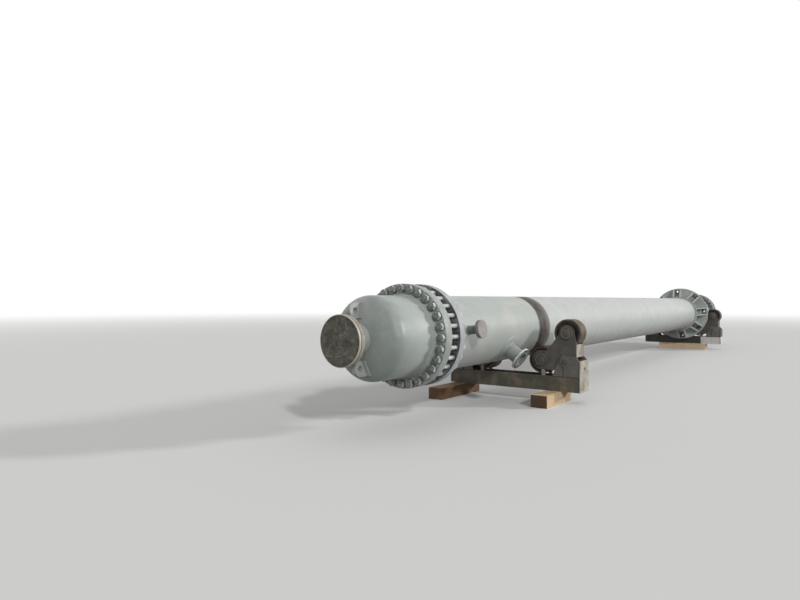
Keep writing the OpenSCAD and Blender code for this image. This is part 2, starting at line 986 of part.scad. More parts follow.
stand_rails(near_stand_x, [0.27, 0.25, 0.21]);  // near_stand_rails
end_plates(near_stand_x);  // near_end_plates
brackets(near_stand_x);  // near_brackets
rockers(near_stand_x);  // near_rockers
rocker_spacers(near_stand_x);  // near_rocker_spacers
rocker_stops(near_stand_x);  // near_rocker_stops
near_timbers();
stand_rails(far_stand_x, [0.62, 0.60, 0.60]);  // far_stand_rails
end_plates(far_stand_x);  // far_end_plates
brackets(far_stand_x);  // far_brackets
rockers(far_stand_x);  // far_rockers
rocker_spacers(far_stand_x);  // far_rocker_spacers
rocker_stops(far_stand_x);  // far_rocker_stops
far_timbers();
roller(near_stand_x, upper_axle, -1);  // near_roller_upper_front
roller(near_stand_x, lower_axle, -1);  // near_roller_lower_front
roller(near_stand_x, lower_axle, 1);  // near_roller_lower_back
roller(near_stand_x, upper_axle, 1);  // near_roller_upper_back
roller(far_stand_x, upper_axle, -1);  // far_roller_upper_front
roller(far_stand_x, lower_axle, -1);  // far_roller_lower_front
roller(far_stand_x, lower_axle, 1);  // far_roller_lower_back
roller(far_stand_x, upper_axle, 1);  // far_roller_upper_back
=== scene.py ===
# Shell and tube heat exchanger lying on two sets of turning rolls
import math

import bmesh
import bpy
from mathutils import Matrix, Vector, noise


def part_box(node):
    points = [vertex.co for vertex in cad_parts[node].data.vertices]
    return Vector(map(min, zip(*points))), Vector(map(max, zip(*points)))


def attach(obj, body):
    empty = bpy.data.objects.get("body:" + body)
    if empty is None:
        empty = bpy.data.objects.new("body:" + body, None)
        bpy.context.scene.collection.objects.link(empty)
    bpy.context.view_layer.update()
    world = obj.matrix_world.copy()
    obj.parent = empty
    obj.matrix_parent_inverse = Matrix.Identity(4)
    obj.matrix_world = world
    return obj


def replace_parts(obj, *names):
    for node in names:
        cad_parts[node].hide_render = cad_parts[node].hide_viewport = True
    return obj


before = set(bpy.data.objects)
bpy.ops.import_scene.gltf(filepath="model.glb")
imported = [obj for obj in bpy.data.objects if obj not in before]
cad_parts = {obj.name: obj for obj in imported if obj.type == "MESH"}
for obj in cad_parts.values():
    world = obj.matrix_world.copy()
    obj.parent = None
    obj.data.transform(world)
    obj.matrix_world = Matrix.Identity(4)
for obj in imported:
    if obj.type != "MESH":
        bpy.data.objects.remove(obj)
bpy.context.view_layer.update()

# Places that everything else is worked out from
shellLow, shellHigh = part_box("main_shell")
axisHeight = (shellLow.z + shellHigh.z) / 2
shellRadius = (shellHigh.z - shellLow.z) / 2
axisPoint = Vector((0, 0, axisHeight))
outward = {"near": -1, "far": 1}
rows = {"front": -1, "back": 1}


def middle(node):
    low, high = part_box(node)
    return (low + high) / 2


def addObject(name, data):
    made = bpy.data.objects.new(name, data)
    bpy.context.scene.collection.objects.link(made)
    return made


# Short ways to add nodes to a tree
def srgb(red, green, blue):
    # A colour as a picker shows it, 0 to 255, in the linear values that nodes take
    levels = []
    for level in (red, green, blue):
        share = level / 255
        levels.append(share / 12.92 if share <= 0.04045 else ((share + 0.055) / 1.055) ** 2.4)
    return (*levels, 1.0)


def addNode(tree, kind, settings=None, inputs=None):
    # A value in inputs is either a number or another node's output, which is linked
    made = tree.nodes.new(kind)
    for key, value in (settings or {}).items():
        setattr(made, key, value)
    for key, value in (inputs or {}).items():
        if isinstance(value, bpy.types.NodeSocket):
            tree.links.new(value, made.inputs[key])
        else:
            made.inputs[key].default_value = value
    return made


def maths(tree, operation, a, b=0.0, c=0.0):
    return addNode(tree, "ShaderNodeMath", {"operation": operation}, {0: a, 1: b, 2: c}).outputs[0]


def times(tree, a, b):
    return maths(tree, "MULTIPLY", a, b)


def plus(tree, a, b):
    return maths(tree, "ADD", a, b)


def minus(tree, a, b):
    return maths(tree, "SUBTRACT", a, b)


def vectorMaths(tree, operation, a, b=(0, 0, 0)):
    made = addNode(tree, "ShaderNodeVectorMath", {"operation": operation}, {0: a, 1: b})
    return made.outputs["Value" if operation in ("LENGTH", "DOT_PRODUCT") else "Vector"]


def coordinate(tree, vector, axis):
    # axis is X, Y or Z
    return addNode(tree, "ShaderNodeSeparateXYZ", None, {0: vector}).outputs[axis]


def mixColour(tree, factor, a, b, blend="MIX"):
    made = addNode(tree, "ShaderNodeMix", {"data_type": "RGBA", "blend_type": blend}, {0: factor, 6: a, 7: b})
    return made.outputs[2]


def mixShader(tree, factor, a, b):
    return addNode(tree, "ShaderNodeMixShader", None, {0: factor, 1: a.outputs[0], 2: b.outputs[0]}).outputs[0]


def remap(tree, value, low, high, toLow=0.0, toHigh=1.0):
    made = addNode(tree, "ShaderNodeMapRange", {"interpolation_type": "SMOOTHSTEP"},
                   {0: value, 1: low, 2: high, 3: toLow, 4: toHigh})
    return made.outputs[0]


def fadeAt(tree, value, place, reach, toLow=0.0, toHigh=1.0):
    # Fades in as value passes place, from the first to the second offset in reach
    return remap(tree, value, place + reach[0], place + reach[1], toLow, toHigh)


def startFinish(name):
    material = bpy.data.materials.new(name)
    material.use_nodes = True
    tree = material.node_tree
    tree.nodes.clear()
    return material, tree, addNode(tree, "ShaderNodeTexCoord").outputs["Object"]


# Camera, floor and lamps
cameraPlan = {
    "place": (-14.927, -4.394, 1.604),
    "heading": 36.7,  # degrees from the vessel's axis towards its back
    "lens": 27.0,
    "sensorWidth": 36.0,
    "clipEnd": 500,
}
studioPlan = {
    "floorSize": 400.0,
    "floorPale": (0.80, 0.80, 0.79, 1.0),
    "floorBounce": (0.32, 0.32, 0.315, 1.0),
    "floorFade": (16, 70),  # distances between which the floor turns white
    "skyLevels": (0.36, 0.42),  # light from the horizon and from above
    "skyHeights": (-0.1, 0.9),
    "white": (1.0, 1.0, 1.0, 1.0),
    "backdrop": 1.0,
}
lampPlan = {
    "keyLamp": {"comesFrom": (0.62, -0.72, 0.32), "strength": 1.40, "softness": 6.0},
    "faceLamp": {"comesFrom": (-0.50, -0.76, 0.46), "strength": 1.20, "softness": 4.0},
    "topLamp": {"comesFrom": (0.1, -0.25, 1.0), "strength": 0.12, "softness": 50.0},
}


def makeCamera():
    data = bpy.data.cameras.new("camera")
    data.lens = cameraPlan["lens"]
    data.sensor_width = cameraPlan["sensorWidth"]
    data.clip_end = cameraPlan["clipEnd"]
    camera = addObject("camera", data)
    camera.location = cameraPlan["place"]
    camera.rotation_euler = (math.radians(90), 0, math.radians(cameraPlan["heading"] - 90))
    bpy.context.scene.camera = camera


def seenDirectly(tree):
    # 1 for what the camera, a reflection or a see-through surface shows, 0 for light on the object
    path = addNode(tree, "ShaderNodeLightPath").outputs
    either = maths(tree, "MAXIMUM", path["Is Camera Ray"], path["Is Glossy Ray"])
    return maths(tree, "MAXIMUM", either, path["Is Transmission Ray"])


def makeFloor():
    half = studioPlan["floorSize"] / 2
    mesh = bpy.data.meshes.new("floor")
    mesh.from_pydata([(-half, -half, 0), (half, -half, 0), (half, half, 0), (-half, half, 0)], [], [(0, 1, 2, 3)])
    material, tree, coords = startFinish("floor")
    mesh.materials.append(material)
    shown = seenDirectly(tree)
    colour = mixColour(tree, shown, studioPlan["floorBounce"], studioPlan["floorPale"])
    matt = addNode(tree, "ShaderNodeBsdfDiffuse", None, {"Color": colour})
    glow = addNode(tree, "ShaderNodeEmission", None, {"Color": studioPlan["white"]})
    away = vectorMaths(tree, "LENGTH", coords)
    fade = times(tree, remap(tree, away, *studioPlan["floorFade"]), shown)
    addNode(tree, "ShaderNodeOutputMaterial", None, {"Surface": mixShader(tree, fade, matt, glow)})
    floor = addObject("floor", mesh)


def makeWorld():
    world = bpy.data.worlds.new("studio")
    bpy.context.scene.world = world
    world.use_nodes = True
    tree = world.node_tree
    tree.nodes.clear()
    height = coordinate(tree, addNode(tree, "ShaderNodeTexCoord").outputs["Generated"], "Z")
    level = remap(tree, height, *studioPlan["skyHeights"], *studioPlan["skyLevels"])
    light, shown = (addNode(tree, "ShaderNodeBackground", None, {"Color": studioPlan["white"], "Strength": strength})
                    for strength in (level, studioPlan["backdrop"]))
    addNode(tree, "ShaderNodeOutputWorld", None, {"Surface": mixShader(tree, seenDirectly(tree), light, shown)})


def makeLamp(name, comesFrom, strength, softness):
    data = bpy.data.lights.new(name, "SUN")
    data.energy = strength
    data.angle = math.radians(softness)
    addObject(name, data).rotation_euler = Vector(comesFrom).to_track_quat("Z", "Y").to_euler()


makeCamera()
makeFloor()
makeWorld()
for name, plan in lampPlan.items():
    makeLamp(name, **plan)
bpy.context.scene.view_settings.view_transform = "Standard"
print("Camera, floor and lamps are in place")


# What the finishes are mixed from
def stretched(tree, coords, stretch, shift=(0, 0, 0)):
    inputs = {"Vector": coords, "Location": shift, "Scale": stretch}
    return addNode(tree, "ShaderNodeMapping", None, inputs).outputs[0]


def cloud(tree, coords, scale, detail=4.0, grain=0.55, warp=0.0):
    made = addNode(tree, "ShaderNodeTexNoise", None, {
        "Vector": coords, "Scale": scale, "Detail": detail, "Roughness": grain, "Distortion": warp})
    return made.outputs["Fac"]


def patches(tree, coords, scale, low, high, detail=4.0, grain=0.55, warp=0.0, stretch=(1, 1, 1), shift=(0, 0, 0)):
    # Soft-edged islands; stretch draws them out, and shift takes them from another part of the noise
    if stretch != (1, 1, 1) or shift != (0, 0, 0):
        coords = stretched(tree, coords, stretch, shift)
    return remap(tree, cloud(tree, coords, scale, detail, grain, warp), low, high)


def dapple(tree, coords, under, over, share=1.0, **islands):
    # One colour in patches over another
    mask = patches(tree, coords, **islands)
    return mixColour(tree, mask if share == 1.0 else times(tree, mask, share), under, over)


def layered(tree, coords, colour, layers):
    for layer in layers:
        colour = dapple(tree, coords, colour, **layer)
    return colour


def gloss(tree, coords, scale, low, high):
    # Roughness that drifts a little over the surface
    return remap(tree, cloud(tree, coords, scale), 0.3, 0.7, low, high)


def ragged(tree, coords, axis, scale, detail, amount):
    # One coordinate, made uneven as the edge of a sprayed coat is
    return plus(tree, coordinate(tree, coords, axis), times(tree, cloud(tree, coords, scale, detail), amount))


def distanceFrom(tree, coords, centre, across=(0, 1, 1)):
    # Distance from an axis through centre; across keeps only the directions that count
    offset = vectorMaths(tree, "SUBTRACT", coords, tuple(centre))
    return vectorMaths(tree, "LENGTH", vectorMaths(tree, "MULTIPLY", offset, across))


def angleRound(tree, coords):
    # The angle round the vessel's axis, from the top towards the back
    spot = addNode(tree, "ShaderNodeSeparateXYZ", None, {0: coords}).outputs
    return maths(tree, "ARCTAN2", spot["Y"], minus(tree, spot["Z"], axisHeight))


def endFinish(tree, colour, roughness, height, depth, metallic=0.0, edge=0.002, specular=0.5):
    # height and depth give the bumps, and edge is the radius at which corners catch the light
    bumps = {"Strength": 1.0, "Distance": depth, "Height": height}
    if edge:
        bumps["Normal"] = addNode(tree, "ShaderNodeBevel", {"samples": 4}, {"Radius": edge}).outputs[0]
    bump = addNode(tree, "ShaderNodeBump", None, bumps)
    shader = addNode(tree, "ShaderNodeBsdfPrincipled", None, {
        "Base Color": colour, "Roughness": roughness, "Metallic": metallic, "Specular IOR Level": specular,
        "Normal": bump.outputs[0]})
    addNode(tree, "ShaderNodeOutputMaterial", None, {"Surface": shader.outputs[0]})


bandPlan = {
    "dark": srgb(47, 40, 37),
    "mid": srgb(66, 58, 54),
    "pale": srgb(122, 117, 110),
    "paleFrom": 0.20,  # from the band's near edge
    "paleShare": 0.75,
    "mistEdge": (-0.02, 0.06),  # from the band's far edge
    "mistShare": 0.9,
    "paintEdge": (-0.035, 0.03),  # from the band's near edge
    "uneven": {"axis": "X", "scale": 9.0, "detail": 4.0, "amount": 0.07},
}
bandLayers = (
    dict(over=bandPlan["dark"], scale=6.0, low=0.35, high=0.7, detail=6, grain=0.65),
    dict(over=srgb(96, 87, 80), share=0.5, scale=1.0, low=0.5, high=0.8, stretch=(30, 1, 1)),
    dict(over=srgb(92, 66, 50), share=0.4, scale=22.0, low=0.6, high=0.7, detail=6, shift=(3, 3, 3)),
)
paintPlan = {
    # The near course and the channel are a little darker than the main shell: painted shade of the vessel's near end
    "main": srgb(185, 189, 186),
    "course": srgb(169, 174, 169),
    "channel": srgb(174, 181, 176),
    "head": srgb(140, 148, 143),
    "headEdge": (-0.45, 0.10),  # from the channel's outer end
    "dust": srgb(212, 213, 210),
    "scuff": srgb(140, 143, 139),
    "bellyShade": srgb(124, 119, 110),
    "bellyShadeEdge": (0.05, -0.38),  # from the axis
    "bellyShadeUneven": {"axis": "Z", "scale": 4.0, "detail": 6, "amount": 0.25},
    "bellyShadeShare": {"main": 0.52, "course": 0.22, "channel": 0.0},
    "roughness": (0.36, 0.52),
    "peel": 0.10,
    "waves": 3.0,
}
paintLayers = (
    dict(over=srgb(198, 188, 186), share=0.30, scale=2.1, low=0.45, high=0.72, detail=6, grain=0.6, warp=0.5),
    dict(over=srgb(166, 182, 172), share=0.30, scale=3.1, low=0.45, high=0.7, detail=6, grain=0.6, warp=0.5,
         shift=(7, 3, 1)),
    dict(over=paintPlan["dust"], share=0.25, scale=1.0, low=0.45, high=0.75, detail=7, grain=0.65,
         stretch=(2.2, 3.0, 3.0), shift=(1, 8, 4)),
    dict(over=paintPlan["scuff"], share=0.16, scale=34.0, low=0.42, high=0.70, detail=5, grain=0.7, shift=(3, 3, 2)),
    dict(over=paintPlan["scuff"], share=0.45, scale=1.4, low=0.66, high=0.72, detail=6, grain=0.7,
         stretch=(7, 14, 14), shift=(2, 5, 9)),
)


def vesselPaint(name, coat, towardsHead=False, besideBand=False):
    # Satin spray paint over rolled plate: faint pink and green clouds, scuffs, and painted shade darkening the
    # underside
    material, tree, coords = startFinish(name)
    colour = paintPlan[coat]
    if towardsHead:
        # Painted shade: towards each head the paint darkens, with no seam between the channel and the head
        fromMiddle = maths(tree, "ABSOLUTE", coordinate(tree, coords, "X"))
        headShadeMask = fadeAt(tree, fromMiddle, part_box("far_channel")[1].x, paintPlan["headEdge"])
        colour = mixColour(tree, headShadeMask, colour, paintPlan["head"])
    colour = layered(tree, coords, colour, paintLayers)
    # Painted shade: the paint darkens below the axis, more on the main shell than on the near course
    under = fadeAt(tree, ragged(tree, coords, **paintPlan["bellyShadeUneven"]), axisHeight, paintPlan["bellyShadeEdge"])
    colour = mixColour(tree, times(tree, under, paintPlan["bellyShadeShare"][coat]), colour, paintPlan["bellyShade"])
    if besideBand:
        # The paint stops in a soft sprayed edge
        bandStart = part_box("bare_band")[0].x
        spray = fadeAt(tree, ragged(tree, coords, **bandPlan["uneven"]), bandStart, bandPlan["paintEdge"])
        colour = mixColour(tree, spray, colour, bandPlan["mid"])
    peel = cloud(tree, coords, scale=260.0, detail=2)
    waves = cloud(tree, stretched(tree, coords, (1, 2.2, 2.2)), scale=2.6, detail=1)
    height = plus(tree, times(tree, peel, paintPlan["peel"]), times(tree, waves, paintPlan["waves"]))
    endFinish(tree, colour, gloss(tree, coords, 5.0, *paintPlan["roughness"]), height, depth=0.0012)
    return material


def bareSteel(name):
    # Blasted plate that has begun to rust, polished in faint rings where the wheels run
    material, tree, coords = startFinish(name)
    colour = layered(tree, coords, bandPlan["mid"], bandLayers)
    # Paler towards the middle of the vessel, where mist from the next coat drifts over the edge
    along = ragged(tree, coords, **bandPlan["uneven"])
    low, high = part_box("bare_band")
    pale = remap(tree, along, low.x + bandPlan["paleFrom"], high.x, 0.0, bandPlan["paleShare"])
    colour = mixColour(tree, pale, colour, bandPlan["pale"])
    mist = fadeAt(tree, along, high.x, bandPlan["mistEdge"], 0.0, bandPlan["mistShare"])
    colour = mixColour(tree, mist, colour, paintPlan["main"])
    endFinish(tree, colour, gloss(tree, coords, scale=14.0, low=0.45, high=0.7),
              cloud(tree, coords, scale=120.0, detail=6), depth=0.0006, specular=0.28)
    return material


def plainPaint(name, base, second, third=None, roughness=(0.45, 0.65), scale=3.0, metallic=0.0, edge=0.002,
               mark=None):
    # Brushed or sprayed coat with two patchy tones and an optional third in small worn spots
    material, tree, coords = startFinish(name)
    colour = dapple(tree, coords, srgb(*base), srgb(*second), scale=scale, low=0.35, high=0.68, detail=5, grain=0.6)
    if third is not None:
        colour = dapple(tree, coords, colour, srgb(*third), share=0.8, scale=scale * 6, low=0.60, high=0.70, detail=7,
                        grain=0.7, shift=(5, 2, 8))
    if mark is not None:
        colour = mark(tree, coords, colour)
    endFinish(tree, colour, gloss(tree, coords, scale * 3, *roughness),
              cloud(tree, coords, scale=90.0, detail=3), depth=0.0004, metallic=metallic, edge=edge)
    return material


coverPlan = {
    "olive": srgb(84, 84, 74),
    "stainAndShade": srgb(38, 35, 30),
    "scratch": srgb(164, 160, 144),
    "scratchCentre": (0.0, 0.10, 0.18),  # from the axis
    "scratchTop": (-0.05, -0.15),  # from the axis
    "scratchFineness": 120.0,
    "scratchWidth": (0.56, 0.62),
    "scratchShare": 0.85,
    "rim": srgb(186, 182, 166),
    "rimEdge": (-0.008, -0.006),  # from the plate's own edge
    "shadedBack": 0.013,
    "backShadeEdge": (0.002, -0.002),
    "backShadeShare": 0.85,
    "chamfer": 0.005,
    "corner": 0.002,
}
coverLayers = (
    dict(over=srgb(58, 50, 40), scale=11.0, low=0.42, high=0.60, detail=9, grain=0.7, warp=0.8),
    dict(over=srgb(128, 126, 108), share=0.85, scale=15.0, low=0.52, high=0.64, detail=9, grain=0.75, warp=0.6,
         shift=(4, 4, 4)),
    dict(over=coverPlan["stainAndShade"], share=0.8, scale=26.0, low=0.58, high=0.66, detail=8, grain=0.7, shift=(8, 1, 5)),
    dict(over=srgb(176, 172, 154), scale=60.0, low=0.64, high=0.70, detail=6, grain=0.7, shift=(2, 7, 3)),
)


def coverPlate(name, end):
    # Weathered plate: mottled olive and brown, with light arcs scratched across its lower third
    material, tree, coords = startFinish(name)
    low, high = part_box(end + "_cover")
    colour = layered(tree, coords, coverPlan["olive"], coverLayers)
    fromCentre = distanceFrom(tree, coords, axisPoint + Vector(coverPlan["scratchCentre"]))
    arcs = addNode(tree, "ShaderNodeTexNoise", {"noise_dimensions": "1D"}, {
        "W": times(tree, fromCentre, coverPlan["scratchFineness"]), "Scale": 1.0, "Detail": 3.0}).outputs["Fac"]
    lowThird = fadeAt(tree, coordinate(tree, coords, "Z"), axisHeight, coverPlan["scratchTop"])
    broken = patches(tree, coords, scale=7.0, low=0.45, high=0.6, detail=5, shift=(1, 9, 2))
    marks = times(tree, times(tree, remap(tree, arcs, *coverPlan["scratchWidth"]), lowThird), broken)
    colour = mixColour(tree, times(tree, marks, coverPlan["scratchShare"]), colour, coverPlan["scratch"])
    # A pale rim all round the edge: a worn edge, and a painted highlight on the chamfer
    rim = fadeAt(tree, distanceFrom(tree, coords, axisPoint), (high.z - low.z) / 2, coverPlan["rimEdge"])
    colour = mixColour(tree, rim, colour, coverPlan["rim"])
    # Painted shade: the back of the rim is darkened where it overhangs the groove
    back = min(abs(low.x), abs(high.x)) + coverPlan["shadedBack"]
    along = maths(tree, "ABSOLUTE", coordinate(tree, coords, "X"))
    dark = fadeAt(tree, along, back, coverPlan["backShadeEdge"], 0.0, coverPlan["backShadeShare"])
    colour = mixColour(tree, dark, colour, coverPlan["stainAndShade"])
    endFinish(tree, colour, gloss(tree, coords, scale=20.0, low=0.42, high=0.68),
              cloud(tree, coords, scale=60.0, detail=5), depth=0.0007, metallic=0.1)
    return material


boltPlan = {
    "count": 28,
    "studRadius": 0.028,
    "studChamfer": 0.005,
    "studSides": 20,
    "nutFlats": 0.085,
    "nutThick": 0.056,
    "nutFace": 0.0395,  # radius of the flat ring that the chamfer leaves
    "chamferSlope": 0.60,
}
nutReach = boltPlan["nutFlats"] / 2 / math.cos(math.radians(30))  # from a nut's middle to a corner
flangePlan = {
    "rimEdge": (-0.004, -0.001),  # from the flange's own edge
    "hubEdge": (0.034, 0.028),  # from the shell's surface
    "nutShade": srgb(52, 54, 52),
    "nutShadeRadii": (0.066, 0.048),
    "nutShadeShare": 0.70,
    "channel": {"rim": (152, 157, 154), "face": (158, 164, 160), "hub": (168, 174, 169)},
    # The shell flanges' faces are much darker than their rims: painted shade of the gap between the flanges
    "shell": {"rim": (167, 170, 174), "face": (95, 100, 95), "hub": (148, 153, 149)},
}
flangeLayers = (
    dict(over=paintPlan["dust"], share=0.35, scale=7.0, low=0.45, high=0.7, detail=6),
    dict(over=srgb(110, 112, 110), share=0.35, scale=16.0, low=0.55, high=0.75, detail=7, shift=(2, 6, 4)),
)


def nutCircle(end):
    low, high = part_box(end + "_girth_nuts")
    return (high.y - low.y) / 2 - nutReach


def girthFlange(name, end, rim, face, hub):
    # The rim, the bolting face and the hub of a girth flange have coats of their own
    material, tree, coords = startFinish(name)
    low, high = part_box(end + "_shell_flange")
    radius = distanceFrom(tree, coords, axisPoint)
    # Painted shade in a ring round each nut
    fromNut = maths(tree, "PINGPONG", angleRound(tree, coords), math.pi / boltPlan["count"])
    offset = addNode(tree, "ShaderNodeCombineXYZ", None, {
        "X": times(tree, fromNut, radius), "Y": minus(tree, radius, nutCircle(end))}).outputs[0]
    nutDistance = vectorMaths(tree, "LENGTH", offset)
    nutShade = remap(tree, nutDistance, *flangePlan["nutShadeRadii"], 0.0, flangePlan["nutShadeShare"])
    colour = mixColour(tree, nutShade, srgb(*face), flangePlan["nutShade"])
    colour = mixColour(tree, fadeAt(tree, radius, (high.z - low.z) / 2, flangePlan["rimEdge"]), colour, srgb(*rim))
    colour = mixColour(tree, fadeAt(tree, radius, shellRadius, flangePlan["hubEdge"]), colour, srgb(*hub))
    colour = layered(tree, coords, colour, flangeLayers)
    endFinish(tree, colour, gloss(tree, coords, scale=8.0, low=0.38, high=0.58),
              cloud(tree, coords, scale=150.0, detail=3), depth=0.0003)
    return material


gussetPlan = {
    "pairs": 8,
    "gap": 0.175,
    "thick": 0.028,
    "rimStep": 0.05,
    "roll": 6.4,  # degrees from the top towards the back
    "shadeSides": (0.004, -0.012),  # from the inner face of a gusset
    "shadeInner": (0.635, 0.665),  # distances from the axis
    "shadeOuter": (0.785, 0.765),
    "shadeShare": 0.85,
}


def gussetGapShade(tree, coords, colour):
    # Painted shade on the ring's face between the two plates of each gusset pair
    radius = distanceFrom(tree, coords, axisPoint)
    turn = minus(tree, angleRound(tree, coords), math.radians(gussetPlan["roll"]))
    sideways = times(tree, maths(tree, "PINGPONG", turn, math.pi / gussetPlan["pairs"]), radius)
    gapShade = fadeAt(tree, sideways, gussetPlan["gap"] / 2, gussetPlan["shadeSides"])
    for edge in ("shadeInner", "shadeOuter"):
        gapShade = times(tree, gapShade, remap(tree, radius, *gussetPlan[edge]))
    broken = patches(tree, coords, scale=14.0, low=0.25, high=0.45, detail=5, grain=0.6)
    return mixColour(tree, times(tree, times(tree, gapShade, broken), gussetPlan["shadeShare"]), colour, bandPlan["dark"])


sideFacePlan = {
    "direction": (0.0, -0.832921, -0.553392),
    "tones": (srgb(138, 143, 139), srgb(118, 122, 118)),
    "dirt": srgb(58, 58, 54),
    "holeShadeInner": (0.128, 0.136),  # distances from the nozzle's axis
    "holeShadeOuter": (0.168, 0.162),
    "holeShadeShare": 0.85,
    "edge": srgb(206, 210, 208),
    "edgeFrom": (0.164, 0.168),
}


def sideFace(name):
    # The open side flange: bright edges, and painted shade in a ring round its bolt holes
    material, tree, coords = startFinish(name)
    offset = vectorMaths(tree, "SUBTRACT", coords, middle("side_nozzle_flange"))
    radius = vectorMaths(tree, "LENGTH", vectorMaths(tree, "CROSS_PRODUCT", offset, sideFacePlan["direction"]))
    inside, outside, edge = (
        remap(tree, radius, *sideFacePlan[key]) for key in ("holeShadeInner", "holeShadeOuter", "edgeFrom"))
    spotty = patches(tree, coords, scale=22.0, low=0.25, high=0.55, detail=6, grain=0.6)
    # Painted shade round the bolt holes, mixed in the dirt colour
    dirty = times(tree, times(tree, inside, outside), spotty)
    colour = dapple(tree, coords, *sideFacePlan["tones"], scale=16.0, low=0.4, high=0.65, detail=6)
    colour = mixColour(tree, times(tree, dirty, sideFacePlan["holeShadeShare"]), colour, sideFacePlan["dirt"])
    bright = times(tree, edge, patches(tree, coords, scale=30.0, low=0.3, high=0.5, detail=5))
    colour = mixColour(tree, bright, colour, sideFacePlan["edge"])
    endFinish(tree, colour, gloss(tree, coords, scale=20.0, low=0.35, high=0.55),
              cloud(tree, coords, scale=90.0, detail=4), depth=0.0006)
    return material


studPlan = {
    "bright": (srgb(224, 225, 222), srgb(184, 187, 184)),
    "dull": (srgb(138, 143, 141), srgb(104, 108, 106)),
    "dullEdge": (0.02, 0.03),  # from the tubesheet's faces
    "threadHalf": 0.0021,
    "threadBump": 500.0,
    "roughness": 0.38,
}


def threadedSteel(name, end):
    # Clean bright threads between the two flanges, and dull painted ends outside the nuts
    material, tree, coords = startFinish(name)
    low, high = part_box(end + "_tubesheet")
    bright = dapple(tree, coords, *studPlan["bright"], scale=30.0, low=0.4, high=0.65)
    dull = dapple(tree, coords, *studPlan["dull"], scale=40.0, low=0.4, high=0.65, detail=5)
    along = coordinate(tree, coords, "X")
    fromGap = maths(tree, "ABSOLUTE", minus(tree, along, (low.x + high.x) / 2))
    outside = fadeAt(tree, fromGap, (high.x - low.x) / 2, studPlan["dullEdge"])
    thread = maths(tree, "PINGPONG", along, studPlan["threadHalf"])
    endFinish(tree, mixColour(tree, outside, bright, dull), studPlan["roughness"],
              times(tree, thread, studPlan["threadBump"]), depth=0.0012, metallic=0.45, edge=0.0)
    return material


nutPlan = {
    "ends": (srgb(132, 138, 136), srgb(104, 109, 107)),
    "flats": (srgb(206, 210, 208), srgb(168, 172, 170)),
    "turnsFlat": (0.35, 0.75),  # how far a face looks along the vessel
}


def nutSteel(name):
    # Dull ends on the faces that look along the vessel, and a painted highlight: the six flats much lighter
    material, tree, coords = startFinish(name)
    # The flats' light colour is a painted highlight
    flats = dapple(tree, coords, *nutPlan["flats"], scale=30.0, low=0.42, high=0.62, detail=5)
    ends = dapple(tree, coords, *nutPlan["ends"], scale=24.0, low=0.42, high=0.62, detail=5)
    normal = addNode(tree, "ShaderNodeNewGeometry").outputs["Normal"]
    along = maths(tree, "ABSOLUTE", coordinate(tree, normal, "X"))
    colour = mixColour(tree, remap(tree, along, *nutPlan["turnsFlat"]), flats, ends)
    endFinish(tree, colour, gloss(tree, coords, scale=20.0, low=0.24, high=0.40),
              cloud(tree, coords, scale=150.0, detail=3), depth=0.0003, metallic=0.3, edge=0.0012)
    return material


rollerPlan = {
    "sides": (srgb(46, 43, 41), srgb(70, 62, 56)),
    "tread": srgb(92, 76, 54),
    "treadBright": srgb(142, 124, 94),
    "treadEdge": (-0.004, -0.001),
    "treadRoughness": (0.62, 0.48),
    "rings": (0.93, 0.74),  # turning marks on the sides, as shares of the radius
    "ringHalf": (0.006, 0.003),
    "ringShare": 0.5,
}
treadLayers = (
    dict(over=srgb(46, 34, 25), scale=1.0, low=0.4, high=0.65, detail=5, stretch=(60, 3, 3)),
    dict(over=rollerPlan["treadBright"], share=0.6, scale=1.0, low=0.56, high=0.68, detail=5, stretch=(35, 5, 5),
         shift=(3, 0, 0)),
)


def rollerSteel(name, node):
    # Dark sides with thin bright turning marks, and a tread that has been rolled to tan and brown rings
    material, tree, coords = startFinish(name)
    low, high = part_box(node)
    rollerRadius = (high.z - low.z) / 2
    radius = distanceFrom(tree, coords, middle(node))
    side = dapple(tree, coords, *rollerPlan["sides"], scale=12.0, low=0.4, high=0.7, detail=6)
    for share in rollerPlan["rings"]:
        fromRing = maths(tree, "ABSOLUTE", minus(tree, radius, rollerRadius * share))
        ring = remap(tree, fromRing, *rollerPlan["ringHalf"], 0.0, rollerPlan["ringShare"])
        side = mixColour(tree, ring, side, rollerPlan["treadBright"])
    onTread = fadeAt(tree, radius, rollerRadius, rollerPlan["treadEdge"])
    colour = mixColour(tree, onTread, side, layered(tree, coords, rollerPlan["tread"], treadLayers))
    roughness = remap(tree, onTread, 0.0, 1.0, *rollerPlan["treadRoughness"])
    endFinish(tree, colour, roughness, cloud(tree, coords, scale=70.0, detail=5), depth=0.0006,
              metallic=0.1, specular=0.35)
    return material


wornPlan = {
    "chipSoftness": 0.04,
    "rubbedBend": (0.97, 0.80),  # how well the rounded and the flat normal agree, where rubbing starts and is full
    "roughness": (0.5, 0.75),
}


